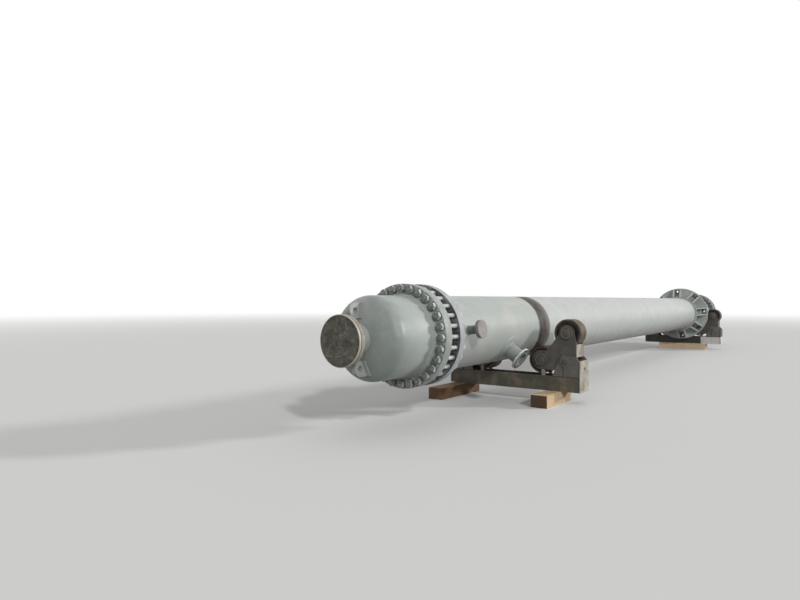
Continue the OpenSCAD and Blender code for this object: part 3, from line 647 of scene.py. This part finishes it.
def worn(name, base, dust, bare, rubbed, bareEdge=0.006, scale=5.0, chipped=0.66, zone=None):
    # Old shop paint: dust clouds, chips down to pale metal, and edges rubbed through
    material, tree, coords = startFinish(name)
    colour = dapple(tree, coords, srgb(*base), srgb(*dust), scale=scale, low=0.4, high=0.7, detail=6, grain=0.6)
    if zone is not None:
        # A darker tone that takes over between two places along one direction
        direction, first, second, coat = zone
        taken = remap(tree, coordinate(tree, coords, direction), first, second)
        colour = mixColour(tree, taken, colour, srgb(*coat))
    colour = dapple(tree, coords, colour, srgb(*bare), scale=scale * 7, low=chipped,
                    high=chipped + wornPlan["chipSoftness"], detail=8, grain=0.75, shift=(6, 1, 3))
    soft = addNode(tree, "ShaderNodeBevel", {"samples": 6}, {"Radius": bareEdge}).outputs[0]
    flat = addNode(tree, "ShaderNodeNewGeometry").outputs["Normal"]
    edge = remap(tree, vectorMaths(tree, "DOT_PRODUCT", soft, flat), *wornPlan["rubbedBend"])
    broken = patches(tree, coords, scale=scale * 4, low=0.40, high=0.58, detail=6, shift=(2, 2, 7))
    colour = mixColour(tree, times(tree, edge, broken), colour, srgb(*rubbed))
    endFinish(tree, colour, gloss(tree, coords, scale * 3, *wornPlan["roughness"]),
              cloud(tree, coords, scale=80.0, detail=5), depth=0.0006)
    return material


timberPlan = {
    "early": srgb(228, 202, 166),
    "late": srgb(190, 156, 116),
    "dirt": srgb(104, 84, 62),
    "end": srgb(84, 64, 47),
    "endEdge": (0.012, 0.004),
    "ringWidth": 0.009,
    "ringWobble": 0.05,
    "fibreShare": 0.4,
    "roughness": 0.78,
    "fresh": (1.0, 1.0, 1.0, 1.0),
    "old": (0.28, 0.22, 0.18, 1.0),
    "grey": (1.15, 1.18, 1.24, 1.0),
    "arris": 0.006,
    "rough": 0.0035,
    "roughScale": (9, 11, 13),  # along, across and up
    "roughShift": 5,  # so that no two baulks are dented alike
    "bends": (-1, -0.4, 0.3, 1),  # where a face bends, as shares of half its width
    "step": 0.05,
    "fewestSteps": 8,
    "width": 0.26,
    "crossWidth": 0.20,
    "frontReach": 0.735,
}


def withGrain(grainAlong, lengthwise, crosswise):
    return tuple(lengthwise if axis == grainAlong else crosswise for axis in "XYZ")


def sawnTimber(name, pith, grainAlong, tint, dirty, shadedEnd=None):
    # Growth rings round a pith beside the baulk, long grain, and dirt trodden into the faces
    material, tree, coords = startFinish(name)
    fine, width = withGrain(grainAlong, 0.6, 9), timberPlan["ringWidth"]
    waves = cloud(tree, stretched(tree, coords, fine), scale=1.0, detail=3)
    wobble = times(tree, waves, timberPlan["ringWobble"])
    fromPith = distanceFrom(tree, coords, pith, withGrain(grainAlong, 0, 1))
    late = remap(tree, maths(tree, "PINGPONG", plus(tree, fromPith, wobble), width), 0.0, width)
    seen = patches(tree, coords, scale=1.0, low=0.30, high=0.75, detail=5, stretch=fine, shift=(5, 5, 5))
    colour = mixColour(tree, times(tree, late, seen), timberPlan["early"], timberPlan["late"])
    fibres = patches(tree, coords, scale=1.0, low=0.35, high=0.7, stretch=withGrain(grainAlong, 4, 90))
    colour = mixColour(tree, times(tree, fibres, timberPlan["fibreShare"]), colour, timberPlan["late"])
    colour = mixColour(tree, 1.0, colour, tint, "MULTIPLY")
    colour = dapple(tree, coords, colour, timberPlan["dirt"], dirty, scale=6.0, low=0.35, high=0.65, detail=7,
                    grain=0.65)
    # The end face is darker: end grain, deepened with painted shade
    if shadedEnd is not None:
        shade = fadeAt(tree, coordinate(tree, coords, "X"), shadedEnd, timberPlan["endEdge"])
        colour = mixColour(tree, shade, colour, timberPlan["end"])
    endFinish(tree, colour, timberPlan["roughness"], fibres, depth=0.0012, edge=0.0)
    return material


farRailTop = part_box("far_stand_rails")[1].z
finish = {
    "vessel": vesselPaint("vesselPaint", "main"),
    "channel": vesselPaint("channelPaint", "channel", towardsHead=True),
    "course": vesselPaint("coursePaint", "course", besideBand=True),
    "band": bareSteel("bareSteel"),
    "neck": plainPaint("neckPaint", (168, 172, 168), (150, 154, 150), (126, 126, 120)),
    "ventNeck": plainPaint("ventPrimer", (131, 138, 135), (113, 119, 116), (148, 150, 146), scale=9.0),
    "ventBlank": plainPaint("rosePrimer", (153, 145, 143), (136, 126, 124), (110, 102, 98), scale=9.0),
    "sideNozzle": plainPaint("nozzlePaint", (150, 156, 151), (126, 132, 127), (104, 106, 102), scale=7.0),
    "sideFlange": sideFace("sideFlangePaint"),
    "shield": plainPaint("shieldSteel", (92, 86, 82), (70, 64, 60), roughness=(0.5, 0.7), metallic=0.3),
    "tubesheet": plainPaint("tubesheetSteel", (64, 64, 62), (48, 48, 46), roughness=(0.45, 0.6), metallic=0.4),
    "endFlange": plainPaint("endFlangeSteel", (156, 152, 141), (128, 122, 110), (96, 86, 74), scale=8.0),
    "ring": plainPaint("ringPaint", (178, 183, 179), (160, 164, 161), mark=gussetGapShade),
    "support": plainPaint("supportPaint", (178, 183, 179), (160, 164, 161), (126, 128, 126)),
    "gusset": plainPaint("gussetPaint", (206, 210, 207), (188, 192, 189), (146, 148, 146)),
    "nut": nutSteel("nutSteel"),
    "nearStud": threadedSteel("nearThreads", "near"),
    "farStud": threadedSteel("farThreads", "far"),
    "stand": worn("standPaint", (80, 78, 74), (100, 94, 87), (134, 126, 114), (158, 150, 138)),
    "bracket": worn("bracketPaint", (100, 98, 94), (118, 112, 104), (140, 132, 120), (166, 158, 146)),
    "hubCap": worn("hubCapPaint", (88, 82, 78), (112, 92, 82), (140, 126, 114), (160, 148, 136), scale=9.0),
    "rail": worn("railPaint", (80, 80, 67), (122, 110, 96), (150, 142, 126), (150, 136, 122),
                 bareEdge=0.008, scale=4.0, chipped=0.62),
    # The far rail is pale only at its front end; the rest takes a dark tone, painted shade under the vessel
    "paleRail": worn("paleRailPaint", (222, 214, 213), (202, 194, 192), (132, 124, 118), (140, 132, 124),
                     zone=("Y", -0.585, -0.560, (58, 54, 48))),
    "endPlate": worn("endPlatePaint", (184, 178, 165), (132, 121, 104), (80, 68, 54), (112, 98, 80),
                     scale=4.5, chipped=0.58),
    "farEndPlate": worn("farEndPlatePaint", (222, 216, 208), (188, 180, 170), (80, 68, 54), (112, 98, 80),
                        scale=4.5, chipped=0.62, zone=("Z", farRailTop, farRailTop + 0.008, (76, 73, 68))),
    "stop": plainPaint("stopPrimer", (168, 146, 140), (146, 122, 116), (112, 96, 90), scale=12.0),
    "bead": plainPaint("weldPaint", (170, 175, 171), (150, 154, 151), roughness=(0.35, 0.5), scale=30.0, edge=0.0),
    "standBead": plainPaint("standWeld", (78, 74, 70), (58, 54, 52), roughness=(0.5, 0.65), scale=30.0, edge=0.0),
}
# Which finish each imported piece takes: first what both ends share, then what each has of its own
sharedCoats = {
    "_nozzle_flange": "endFlange", "_nozzle_neck": "neck", "_lifting_lugs": "neck", "_head": "channel",
    "_channel": "channel", "_tubesheet": "tubesheet", "_girth_nuts": "nut", "_brackets": "bracket",
    "_rockers": "stand", "_rocker_stops": "stop",
}
ownCoats = {
    "near_girth_studs": "nearStud", "near_stand_rails": "rail", "near_end_plates": "endPlate",
    "near_rocker_spacers": "endPlate", "far_girth_studs": "farStud", "far_stand_rails": "paleRail",
    "far_end_plates": "farEndPlate", "far_rocker_spacers": "stand", "near_shell_course": "course",
    "bare_band": "band", "main_shell": "vessel", "vent_nozzle": "ventNeck", "vent_blank": "ventBlank",
    "side_nozzle_neck": "sideNozzle", "side_nozzle_flange": "sideFlange", "side_nozzle_pad": "course",
    "shield_plate": "shield", "support_ring": "ring", "support_gussets": "gusset", "support_cap_ring": "support",
}


def dress(node, material):
    # A CAD node keeps its mesh and takes a better material in each of its slots
    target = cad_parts[node]
    if not target.material_slots:
        target.data.materials.append(material)
    for slot in target.material_slots:
        slot.material = material


for end in outward:
    for part, coat in sharedCoats.items():
        dress(end + part, finish[coat])
    for kind in ("channel", "shell"):
        paint = girthFlange(end + kind.capitalize() + "FlangePaint", end, **flangePlan[kind])
        dress(end + "_" + kind + "_flange", paint)
    for level in ("upper", "lower"):
        for row in rows:
            node = "_".join((end, "roller", level, row))
            dress(node, rollerSteel(node + "_steel", node))
for node, coat in ownCoats.items():
    dress(node, finish[coat])
print("Painted the packed model")


# Meshes
def endPiece(name, mesh, body, material=None, smoothBelow=35):
    if material is not None:
        mesh.materials.clear()
        mesh.materials.append(material)
    mesh.shade_smooth()
    mesh.set_sharp_from_angle(angle=math.radians(smoothBelow))
    piece = addObject(name, mesh)
    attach(piece, body)
    return piece


def meshOf(name, build):
    # build draws into an empty mesh, whose faces are then turned outwards
    work = bmesh.new()
    build(work)
    bmesh.ops.remove_doubles(work, verts=work.verts, dist=1e-6)
    bmesh.ops.recalc_face_normals(work, faces=work.faces)
    mesh = bpy.data.meshes.new(name)
    work.to_mesh(mesh)
    work.free()
    return mesh


def onCircle(along, radius, step, steps):
    turn = 2 * math.pi * step / steps
    return Vector((along, radius * math.cos(turn), radius * math.sin(turn)))


def turned(work, profile, steps, place=Matrix.Identity(4)):
    # A closed outline of (along, radius) points turned about the X axis, then put in place
    rings = []
    for along, radius in profile:
        corners = 1 if radius < 1e-6 else steps
        rings.append([work.verts.new(place @ onCircle(along, radius, i, steps)) for i in range(corners)])
    for first, second in zip(rings, rings[1:] + rings[:1]):
        if len(first) == 1 and len(second) == 1:
            continue
        for i in range(steps):
            corners = [first[i % len(first)], first[(i + 1) % len(first)],
                       second[(i + 1) % len(second)], second[i % len(second)]]
            unique = list(dict.fromkeys(corners))
            if len(unique) > 2:
                work.faces.new(unique)


def facing(direction, at):
    # A frame whose X axis points along direction
    return Matrix.Translation(at) @ Vector(direction).to_track_quat("X", "Z").to_matrix().to_4x4()


def loft(work, outlines):
    # Closed outlines joined one to the next, with a flat cap on the first and the last
    rings = [[work.verts.new(point) for point in outline] for outline in outlines]
    faces = [work.faces.new(rings[0]), work.faces.new(rings[-1])]
    for first, second in zip(rings, rings[1:]):
        for i in range(len(first)):
            k = (i + 1) % len(first)
            faces.append(work.faces.new((first[i], first[k], second[k], second[i])))
    return faces


def baulk(work, low, high, grainAlong):
    # Rough-sawn timber: uneven side faces and blunt arrises that stay inside the box it is given
    cut, rough = timberPlan["arris"], timberPlan["rough"]
    size, centre = high - low, (low + high) / 2
    length, width = (size.x, size.y) if grainAlong == "X" else (size.y, size.x)
    wide, tall = width / 2, size.z / 2
    bends = timberPlan["bends"]
    outline = [(bend * (wide - cut), -tall) for bend in bends] + [(wide, bend * (tall - cut)) for bend in bends]
    outline += [(-w, -h) for w, h in outline]
    steps = max(timberPlan["fewestSteps"], int(length / timberPlan["step"]))
    straight = length - 2 * cut
    stations = [(-length / 2, cut)] + [(-length / 2 + cut + straight * i / steps, 0) for i in range(steps + 1)]
    stations.append((length / 2, cut))
    alongScale, acrossScale, upScale = timberPlan["roughScale"]
    rings = []
    for along, inset in stations:
        ring = []
        for w, h in outline:
            spot = Vector((along * alongScale, w * acrossScale + centre.y * timberPlan["roughShift"], h * upScale))
            dent = rough * (0.5 + 0.5 * noise.noise(spot))
            side = math.copysign(max(0, abs(w) - inset - (dent if abs(w) == wide else 0)), w)
            up = math.copysign(abs(h) - inset, h)
            ring.append(centre + Vector((along, side, up) if grainAlong == "X" else (side, along, up)))
        rings.append(ring)
    return loft(work, rings)


def timberPiece(name, node, grainAlong, pieces):
    # Each piece is (low, high, material), and one mesh stands in for the node
    def build(work):
        for number, (low, high, material) in enumerate(pieces):
            for face in baulk(work, low, high, grainAlong):
                face.material_index = number

    mesh = meshOf(name, build)
    for low, high, material in pieces:
        mesh.materials.append(material)
    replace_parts(endPiece(name, mesh, "stands", smoothBelow=28), node)


low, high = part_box("near_timbers")
frontHigh = Vector((high.x, low.y + timberPlan["width"], high.z))
frontLow = Vector((middle("near_stand_rails").x - timberPlan["frontReach"], low.y, low.z))
backLow = Vector((low.x, high.y - timberPlan["width"], low.z))
freshWood = sawnTimber("freshTimber", (frontLow + frontHigh) / 2 + Vector((0, 0.16, -0.20)), "X",
                       timberPlan["fresh"], dirty=0.16, shadedEnd=frontLow.x)
oldWood = sawnTimber("oldTimber", (backLow + high) / 2 + Vector((0, -0.15, 0.18)), "X", timberPlan["old"], dirty=0.35)
timberPiece("nearBaulks", "near_timbers", "X", [(frontLow, frontHigh, freshWood), (backLow, high, oldWood)])
low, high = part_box("far_timbers")
firstHigh = Vector((low.x + timberPlan["crossWidth"], high.y, high.z))
secondLow = Vector((high.x - timberPlan["crossWidth"], low.y, low.z))
greyWood = sawnTimber("greyTimber", (low + high) / 2 + Vector((0.14, 0, -0.2)), "Y", timberPlan["grey"], dirty=0.12)
timberPiece("farBaulks", "far_timbers", "Y", [(low, firstHigh, greyWood), (secondLow, high, greyWood)])
print("Sawed the timbers")


# Cover plates of the end nozzles, on a seal that leaves a groove behind them, darkened by painted shade
sealPlan = {"radius": 0.2325, "thick": 0.003, "steps": 144}
for end, sign in outward.items():
    low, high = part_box(end + "_cover")
    plate, whole = (high.z - low.z) / 2, high.x - low.x
    cut, corner = coverPlan["chamfer"], coverPlan["corner"]
    radius, seal = sealPlan["radius"], sealPlan["thick"]
    place = facing((sign, 0, 0), (high.x if sign < 0 else low.x, 0, axisHeight))
    profile = [(0, 0), (0, radius), (seal, radius), (seal, plate - corner), (seal + corner, plate),
               (whole - cut, plate), (whole, plate - cut), (whole, 0)]
    mesh = meshOf(end + "CoverDisc", lambda work: turned(work, profile, sealPlan["steps"], place))
    disc = endPiece(end + "CoverDisc", mesh, "vessel", coverPlate(end + "CoverDisc", end))
    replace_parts(disc, end + "_cover")


# Caps over the roller axles and washers on the rocker pins
capPlan = {
    "ringOuter": 0.091,
    "ringInner": 0.076,
    "ringRaise": 0.006,
    "discRadius": 0.054,
    "discRaise": 0.009,
    "plugRadius": 0.022,
    "plugRaise": 0.015,
    "floor": 0.0005,
    "sunk": 0.002,
    "bevel": 0.002,
    "round": 0.003,
    "steps": 56,
}
pinPlan = {"circle": 1.045, "angle": 60.8, "radius": 0.047, "raise": 0.005, "centreHole": 0.011, "floor": 0.001}


def pinAt(side):
    # How far across and how high a rocker's pin stands
    angle = math.radians(pinPlan["angle"])
    return side * pinPlan["circle"] * math.sin(angle), axisHeight - pinPlan["circle"] * math.cos(angle)


def axleCap(work, place):
    # A raised ring, a disc inside it, and a plug in the middle
    outer, inner, disc, plug = (capPlan[key] for key in ("ringOuter", "ringInner", "discRadius", "plugRadius"))
    up, over, top = (capPlan[key] for key in ("ringRaise", "discRaise", "plugRaise"))
    sunk, floor, bevel, soft = (capPlan[key] for key in ("sunk", "floor", "bevel", "round"))
    profile = [(-sunk, 0), (-sunk, outer), (up - bevel, outer), (up, outer - bevel), (up, inner + soft),
               (floor, inner), (floor, disc + bevel + soft), (over - bevel, disc), (over, disc - soft),
               (over, plug + 2 * bevel), (over - soft, plug + soft - bevel), (top - soft, plug),
               (top, plug - 2 * bevel), (top, 0)]
    turned(work, profile, capPlan["steps"], place)


def pinWasher(work, place):
    radius, up, hole, floor = (pinPlan[key] for key in ("radius", "raise", "centreHole", "floor"))
    sunk, bevel, soft = (capPlan[key] for key in ("sunk", "bevel", "round"))
    profile = [(-sunk, 0), (-sunk, radius), (up - bevel, radius), (up, radius - soft), (up, hole),
               (floor, hole - bevel), (floor, 0)]
    turned(work, profile, capPlan["steps"], place)


def standCaps(work, end, level):
    rocker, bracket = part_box(end + "_rockers"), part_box(end + "_brackets")
    for face, direction in enumerate((-1, 1)):
        for row, side in rows.items():
            axle = middle("_".join((end, "roller", level, row)))
            axleCap(work, facing((direction, 0, 0), (rocker[face].x, axle.y, axle.z)))
            if level == "lower":
                pinWasher(work, facing((direction, 0, 0), (bracket[face].x, *pinAt(side))))


for end in outward:
    for level, coat in (("upper", "hubCap"), ("lower", "stand")):
        name = end + level.capitalize() + "Caps"
        mesh = meshOf(name, lambda work: standCaps(work, end, level))
        endPiece(name, mesh, "stands", finish[coat])
print("Fitted the covers and axle caps")


# Node trees that make a mesh
def startTree(name, sockets):
    tree = bpy.data.node_groups.new(name, "GeometryNodeTree")
    for socket, kind in sockets.items():
        tree.interface.new_socket(socket, in_out="INPUT", socket_type="NodeSocket" + kind)
    tree.interface.new_socket("Geometry", in_out="OUTPUT", socket_type="NodeSocketGeometry")
    return tree, tree.nodes.new("NodeGroupInput").outputs


def endTree(tree, geometry, coat):
    solid = addNode(tree, "GeometryNodeRealizeInstances", None, {"Geometry": geometry})
    painted = addNode(tree, "GeometryNodeSetMaterial", None, {"Geometry": solid.outputs[0], "Material": coat})
    addNode(tree, "NodeGroupOutput", None, {0: painted.outputs[0]})
    return tree


def runTree(tree, name, values, source=None):
    # Runs a node tree on a passing object and returns the plain mesh that it makes
    holder = addObject(name, source or bpy.data.meshes.new(name))
    modifier = holder.modifiers.new(name, "NODES")
    modifier.node_group = tree
    for item in tree.interface.items_tree:
        if item.in_out == "INPUT" and item.name in values:
            modifier[item.identifier] = values[item.name]
    graph = bpy.context.evaluated_depsgraph_get()
    mesh = bpy.data.meshes.new_from_object(holder.evaluated_get(graph), depsgraph=graph)
    mesh.name = name
    bpy.data.objects.remove(holder)
    return mesh


# Nuts and studs, set out by a tree that repeats one template round a circle
def ringTree():
    tree, given = startTree("boltRing", {
        "Template": "Object", "Count": "Int", "Circle radius": "Float", "Rows": "Int", "Row spacing": "Float",
        "Start": "Vector", "Turn": "Float", "Seed": "Int", "Finish": "Material"})
    circle = addNode(tree, "GeometryNodeMeshCircle", None,
                     {"Vertices": given["Count"], "Radius": given["Circle radius"]})
    upright = addNode(tree, "GeometryNodeTransform", None,
                      {"Geometry": circle.outputs[0], "Rotation": (0, math.radians(90), 0)})
    step = addNode(tree, "ShaderNodeCombineXYZ", None, {"X": given["Row spacing"]})
    starts = addNode(tree, "GeometryNodeMeshLine", None,
                     {"Count": given["Rows"], "Start Location": given["Start"], "Offset": step.outputs[0]})
    rings = addNode(tree, "GeometryNodeInstanceOnPoints", None,
                    {"Points": starts.outputs[0], "Instance": upright.outputs[0]})
    places = addNode(tree, "GeometryNodeRealizeInstances", None, {"Geometry": rings.outputs[0]})
    template = addNode(tree, "GeometryNodeObjectInfo", None, {"Object": given["Template"]})
    most = addNode(tree, "ShaderNodeCombineXYZ", None, {"X": given["Turn"]})
    turn = addNode(tree, "FunctionNodeRandomValue", {"data_type": "FLOAT_VECTOR"},
                   {0: (0, 0, 0), 1: most.outputs[0], "Seed": given["Seed"]})
    copies = addNode(tree, "GeometryNodeInstanceOnPoints", None, {
        "Points": places.outputs[0], "Instance": template.outputs["Geometry"], "Rotation": turn.outputs[0]})
    return endTree(tree, copies.outputs[0], given["Finish"])


def hexNut(work):
    # Six flats cut by a cone at both ends: low at the corners and high at the middle of each flat
    half, face = boltPlan["nutThick"] / 2, boltPlan["nutFace"]
    steps = 12  # the corners and the middles of the flats by turns
    lines = []
    for i in range(steps):
        reach = nutReach if i % 2 == 0 else boltPlan["nutFlats"] / 2
        drop = (reach - face) * boltPlan["chamferSlope"]
        spots = ((-half, face), (-half + drop, reach), (half - drop, reach), (half, face))
        lines.append([work.verts.new(onCircle(x, radius, i, steps)) for x, radius in spots])
    for first, second in zip(lines, lines[1:] + lines[:1]):
        for k in range(3):
            work.faces.new((first[k], second[k], second[k + 1], first[k + 1]))
    work.faces.new([line[0] for line in lines])
    work.faces.new([line[3] for line in lines])


def studBar(work, length):
    half, radius, cut = length / 2, boltPlan["studRadius"], boltPlan["studChamfer"]
    profile = [(-half, 0), (-half, radius - cut), (-half + cut, radius), (half - cut, radius), (half, radius - cut),
               (half, 0)]
    turned(work, profile, boltPlan["studSides"])


def ringOfCopies(name, node, template, smoothBelow, values):
    # The template object is gone again once its copies are made
    values["Template"] = bpy.data.objects.new(name + "Template", meshOf(name + "Template", template))
    mesh = runTree(boltTree, name, values)
    bpy.data.objects.remove(values["Template"])
    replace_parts(endPiece(name, mesh, "vessel", smoothBelow=smoothBelow), node)


boltTree = ringTree()
for end, sign in outward.items():
    low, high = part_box(end + "_girth_nuts")
    thick = boltPlan["nutThick"]
    values = {
        "Count": boltPlan["count"], "Circle radius": nutCircle(end), "Rows": 2, "Row spacing": high.x - low.x - thick,
        "Start": (low.x + thick / 2, 0, axisHeight), "Turn": math.radians(60), "Seed": 3 + sign,
        "Finish": finish["nut"]}
    ringOfCopies(end + "HexNuts", end + "_girth_nuts", hexNut, 20, values)
    low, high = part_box(end + "_girth_studs")
    values.update({"Rows": 1, "Start": ((low.x + high.x) / 2, 0, axisHeight), "Turn": 0.0,
                   "Finish": finish[end + "Stud"]})
    ringOfCopies(end + "Studs", end + "_girth_studs", lambda work: studBar(work, high.x - low.x), 30,
                 values)
print("Set out the nuts and studs of both girth joints")


# Weld beads, drawn as lines and then thickened with ripples by a node tree
def beadTree():
    tree, given = startTree("weldBead", {
        "Geometry": "Geometry", "Bead radius": "Float", "Step": "Float", "Ripple": "Float", "Finish": "Material"})
    lines = addNode(tree, "GeometryNodeMeshToCurve", None, {"Mesh": given["Geometry"]})
    even = addNode(tree, "GeometryNodeResampleCurve", {"mode": "LENGTH"},
                   {"Curve": lines.outputs[0], "Length": given["Step"]})
    section = addNode(tree, "GeometryNodeCurvePrimitiveCircle", None,
                      {"Resolution": 6, "Radius": given["Bead radius"]})
    odd = maths(tree, "MODULO", addNode(tree, "GeometryNodeInputIndex").outputs[0], 2.0)
    swell = maths(tree, "MULTIPLY_ADD", odd, given["Ripple"], 1.0)
    tube = addNode(tree, "GeometryNodeCurveToMesh", None, {
        "Curve": even.outputs[0], "Profile Curve": section.outputs[0], "Scale": swell, "Fill Caps": True})
    return endTree(tree, tube.outputs[0], given["Finish"])


weldPlan = {
    "seamRadius": 0.008,
    "seamSunk": 0.0062,
    "filletRadius": 0.009,
    "filletRaise": 0.001,
    "neckSunk": 0.003,
    "standRadius": 0.006,
    "footWidth": 0.427,
    "footRaise": 0.01,
    "ribHalf": 0.010,
    "ribTop": 0.585,
    "step": 0.011,
    "ripple": 0.12,
}
nozzlePlan = {
    "ventNeckRadius": 0.05715,
    "ventAngle": -6.4,  # both angles are degrees below the vessel's level side
    "sideNeckRadius": 0.10955,
    "padRadius": 0.200,
    "padThick": 0.018,
    "sideAngle": 33.6,
}


def circleAt(x, radius, steps=180):
    # A line is its points and whether it closes
    place = facing((1, 0, 0), (x, 0, axisHeight))
    return [place @ onCircle(0, radius, i, steps) for i in range(steps)], True


def saddleAt(x, angleBelow, neckRadius, lift=0.0, steps=120):
    # Where a neck of this radius meets the shell, angleBelow degrees under the nozzle side's middle
    place = Matrix.Translation((x, 0, axisHeight)) @ Matrix.Rotation(math.radians(90 + angleBelow), 4, "X")
    line = []
    for i in range(steps):
        turn = 2 * math.pi * i / steps
        along, across = neckRadius * math.cos(turn), neckRadius * math.sin(turn)
        height = math.sqrt((shellRadius + lift) ** 2 - across ** 2)
        line.append(place @ Vector((along, across, height)))
    return line, True


def straight(first, second):
    return [Vector(first), Vector(second)], False


def makeBeads(name, lines, radius, material, body):
    points, edges = [], []
    for line, closed in lines:
        first = len(points)
        points.extend(line)
        edges.extend((first + i, first + i + 1) for i in range(len(line) - 1))
        if closed:
            edges.append((first + len(line) - 1, first))
    drawn = bpy.data.meshes.new(name + "Lines")
    drawn.from_pydata([tuple(point) for point in points], edges, [])
    values = {"Bead radius": radius, "Step": weldPlan["step"], "Ripple": weldPlan["ripple"], "Finish": material}
    endPiece(name, runTree(weldTree, name, values, drawn), body, smoothBelow=80)


weldTree = beadTree()
seams = []
for end, sign in outward.items():
    for node in ("_channel", "_shell_flange"):
        low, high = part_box(end + node)
        seams.append(circleAt(low.x if sign > 0 else high.x, shellRadius - weldPlan["seamSunk"]))
makeBeads("girthSeams", seams, weldPlan["seamRadius"], finish["bead"], "vessel")

ventX, sideX = middle("vent_nozzle").x, middle("side_nozzle_neck").x
fillets = [
    saddleAt(ventX, nozzlePlan["ventAngle"], nozzlePlan["ventNeckRadius"]),
    saddleAt(sideX, nozzlePlan["sideAngle"], nozzlePlan["sideNeckRadius"], nozzlePlan["padThick"]),
    saddleAt(sideX, nozzlePlan["sideAngle"], nozzlePlan["padRadius"]),
]
ringLow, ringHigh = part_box("support_ring")
capLow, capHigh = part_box("support_cap_ring")
for x in (ringHigh.x, ringLow.x, capLow.x, capHigh.x):
    fillets.append(circleAt(x, shellRadius + weldPlan["filletRaise"]))
for end, sign in outward.items():
    low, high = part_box(end + "_nozzle_neck")
    flangeLow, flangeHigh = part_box(end + "_nozzle_flange")
    fillets.append(circleAt(flangeHigh.x if sign < 0 else flangeLow.x, (high.z - low.z) / 2 - weldPlan["neckSunk"]))
gussetLow, gussetHigh = (Vector((corner.x, 0, 0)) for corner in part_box("support_gussets"))
gussetRim = (ringHigh.z - ringLow.z) / 2 - gussetPlan["rimStep"]
for pair in range(gussetPlan["pairs"]):
    angle = math.radians(pair * 360 / gussetPlan["pairs"] + gussetPlan["roll"])
    radial, tangent = Vector((0, math.sin(angle), math.cos(angle))), Vector((0, math.cos(angle), -math.sin(angle)))
    for side in (-1, 1):
        for face in (0, 1):
            across = side * (gussetPlan["gap"] / 2 + face * gussetPlan["thick"])
            foot = axisPoint + radial * math.sqrt(shellRadius ** 2 - across ** 2) + tangent * across
            tip = axisPoint + radial * gussetRim + tangent * across
            fillets.append(straight(foot + gussetLow, foot + gussetHigh))
            fillets.append(straight(foot + gussetHigh, tip + gussetHigh))
makeBeads("fillets", fillets, weldPlan["filletRadius"], finish["bead"], "vessel")

standBeads = []
for end in outward:
    railLow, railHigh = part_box(end + "_stand_rails")
    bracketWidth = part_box(end + "_brackets")[1].y
    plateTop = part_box(end + "_end_plates")[1].z
    raised = weldPlan["footRaise"]
    for x in (railLow.x, railHigh.x):
        for side in (-1, 1):
            outerY = side * bracketWidth
            innerY = outerY - side * weldPlan["footWidth"]
            standBeads.append(straight((x, outerY, railHigh.z), (x, innerY, railHigh.z)))
            standBeads.append(straight((x, outerY, railLow.z + raised), (x, outerY, plateTop - raised)))
            for edge in (-1, 1):
                y = pinAt(side)[0] + edge * weldPlan["ribHalf"]
                standBeads.append(straight((x, y, railHigh.z + raised), (x, y, weldPlan["ribTop"])))
makeBeads("standBeads", standBeads, weldPlan["standRadius"], finish["standBead"], "stands")
print("Laid the weld beads")
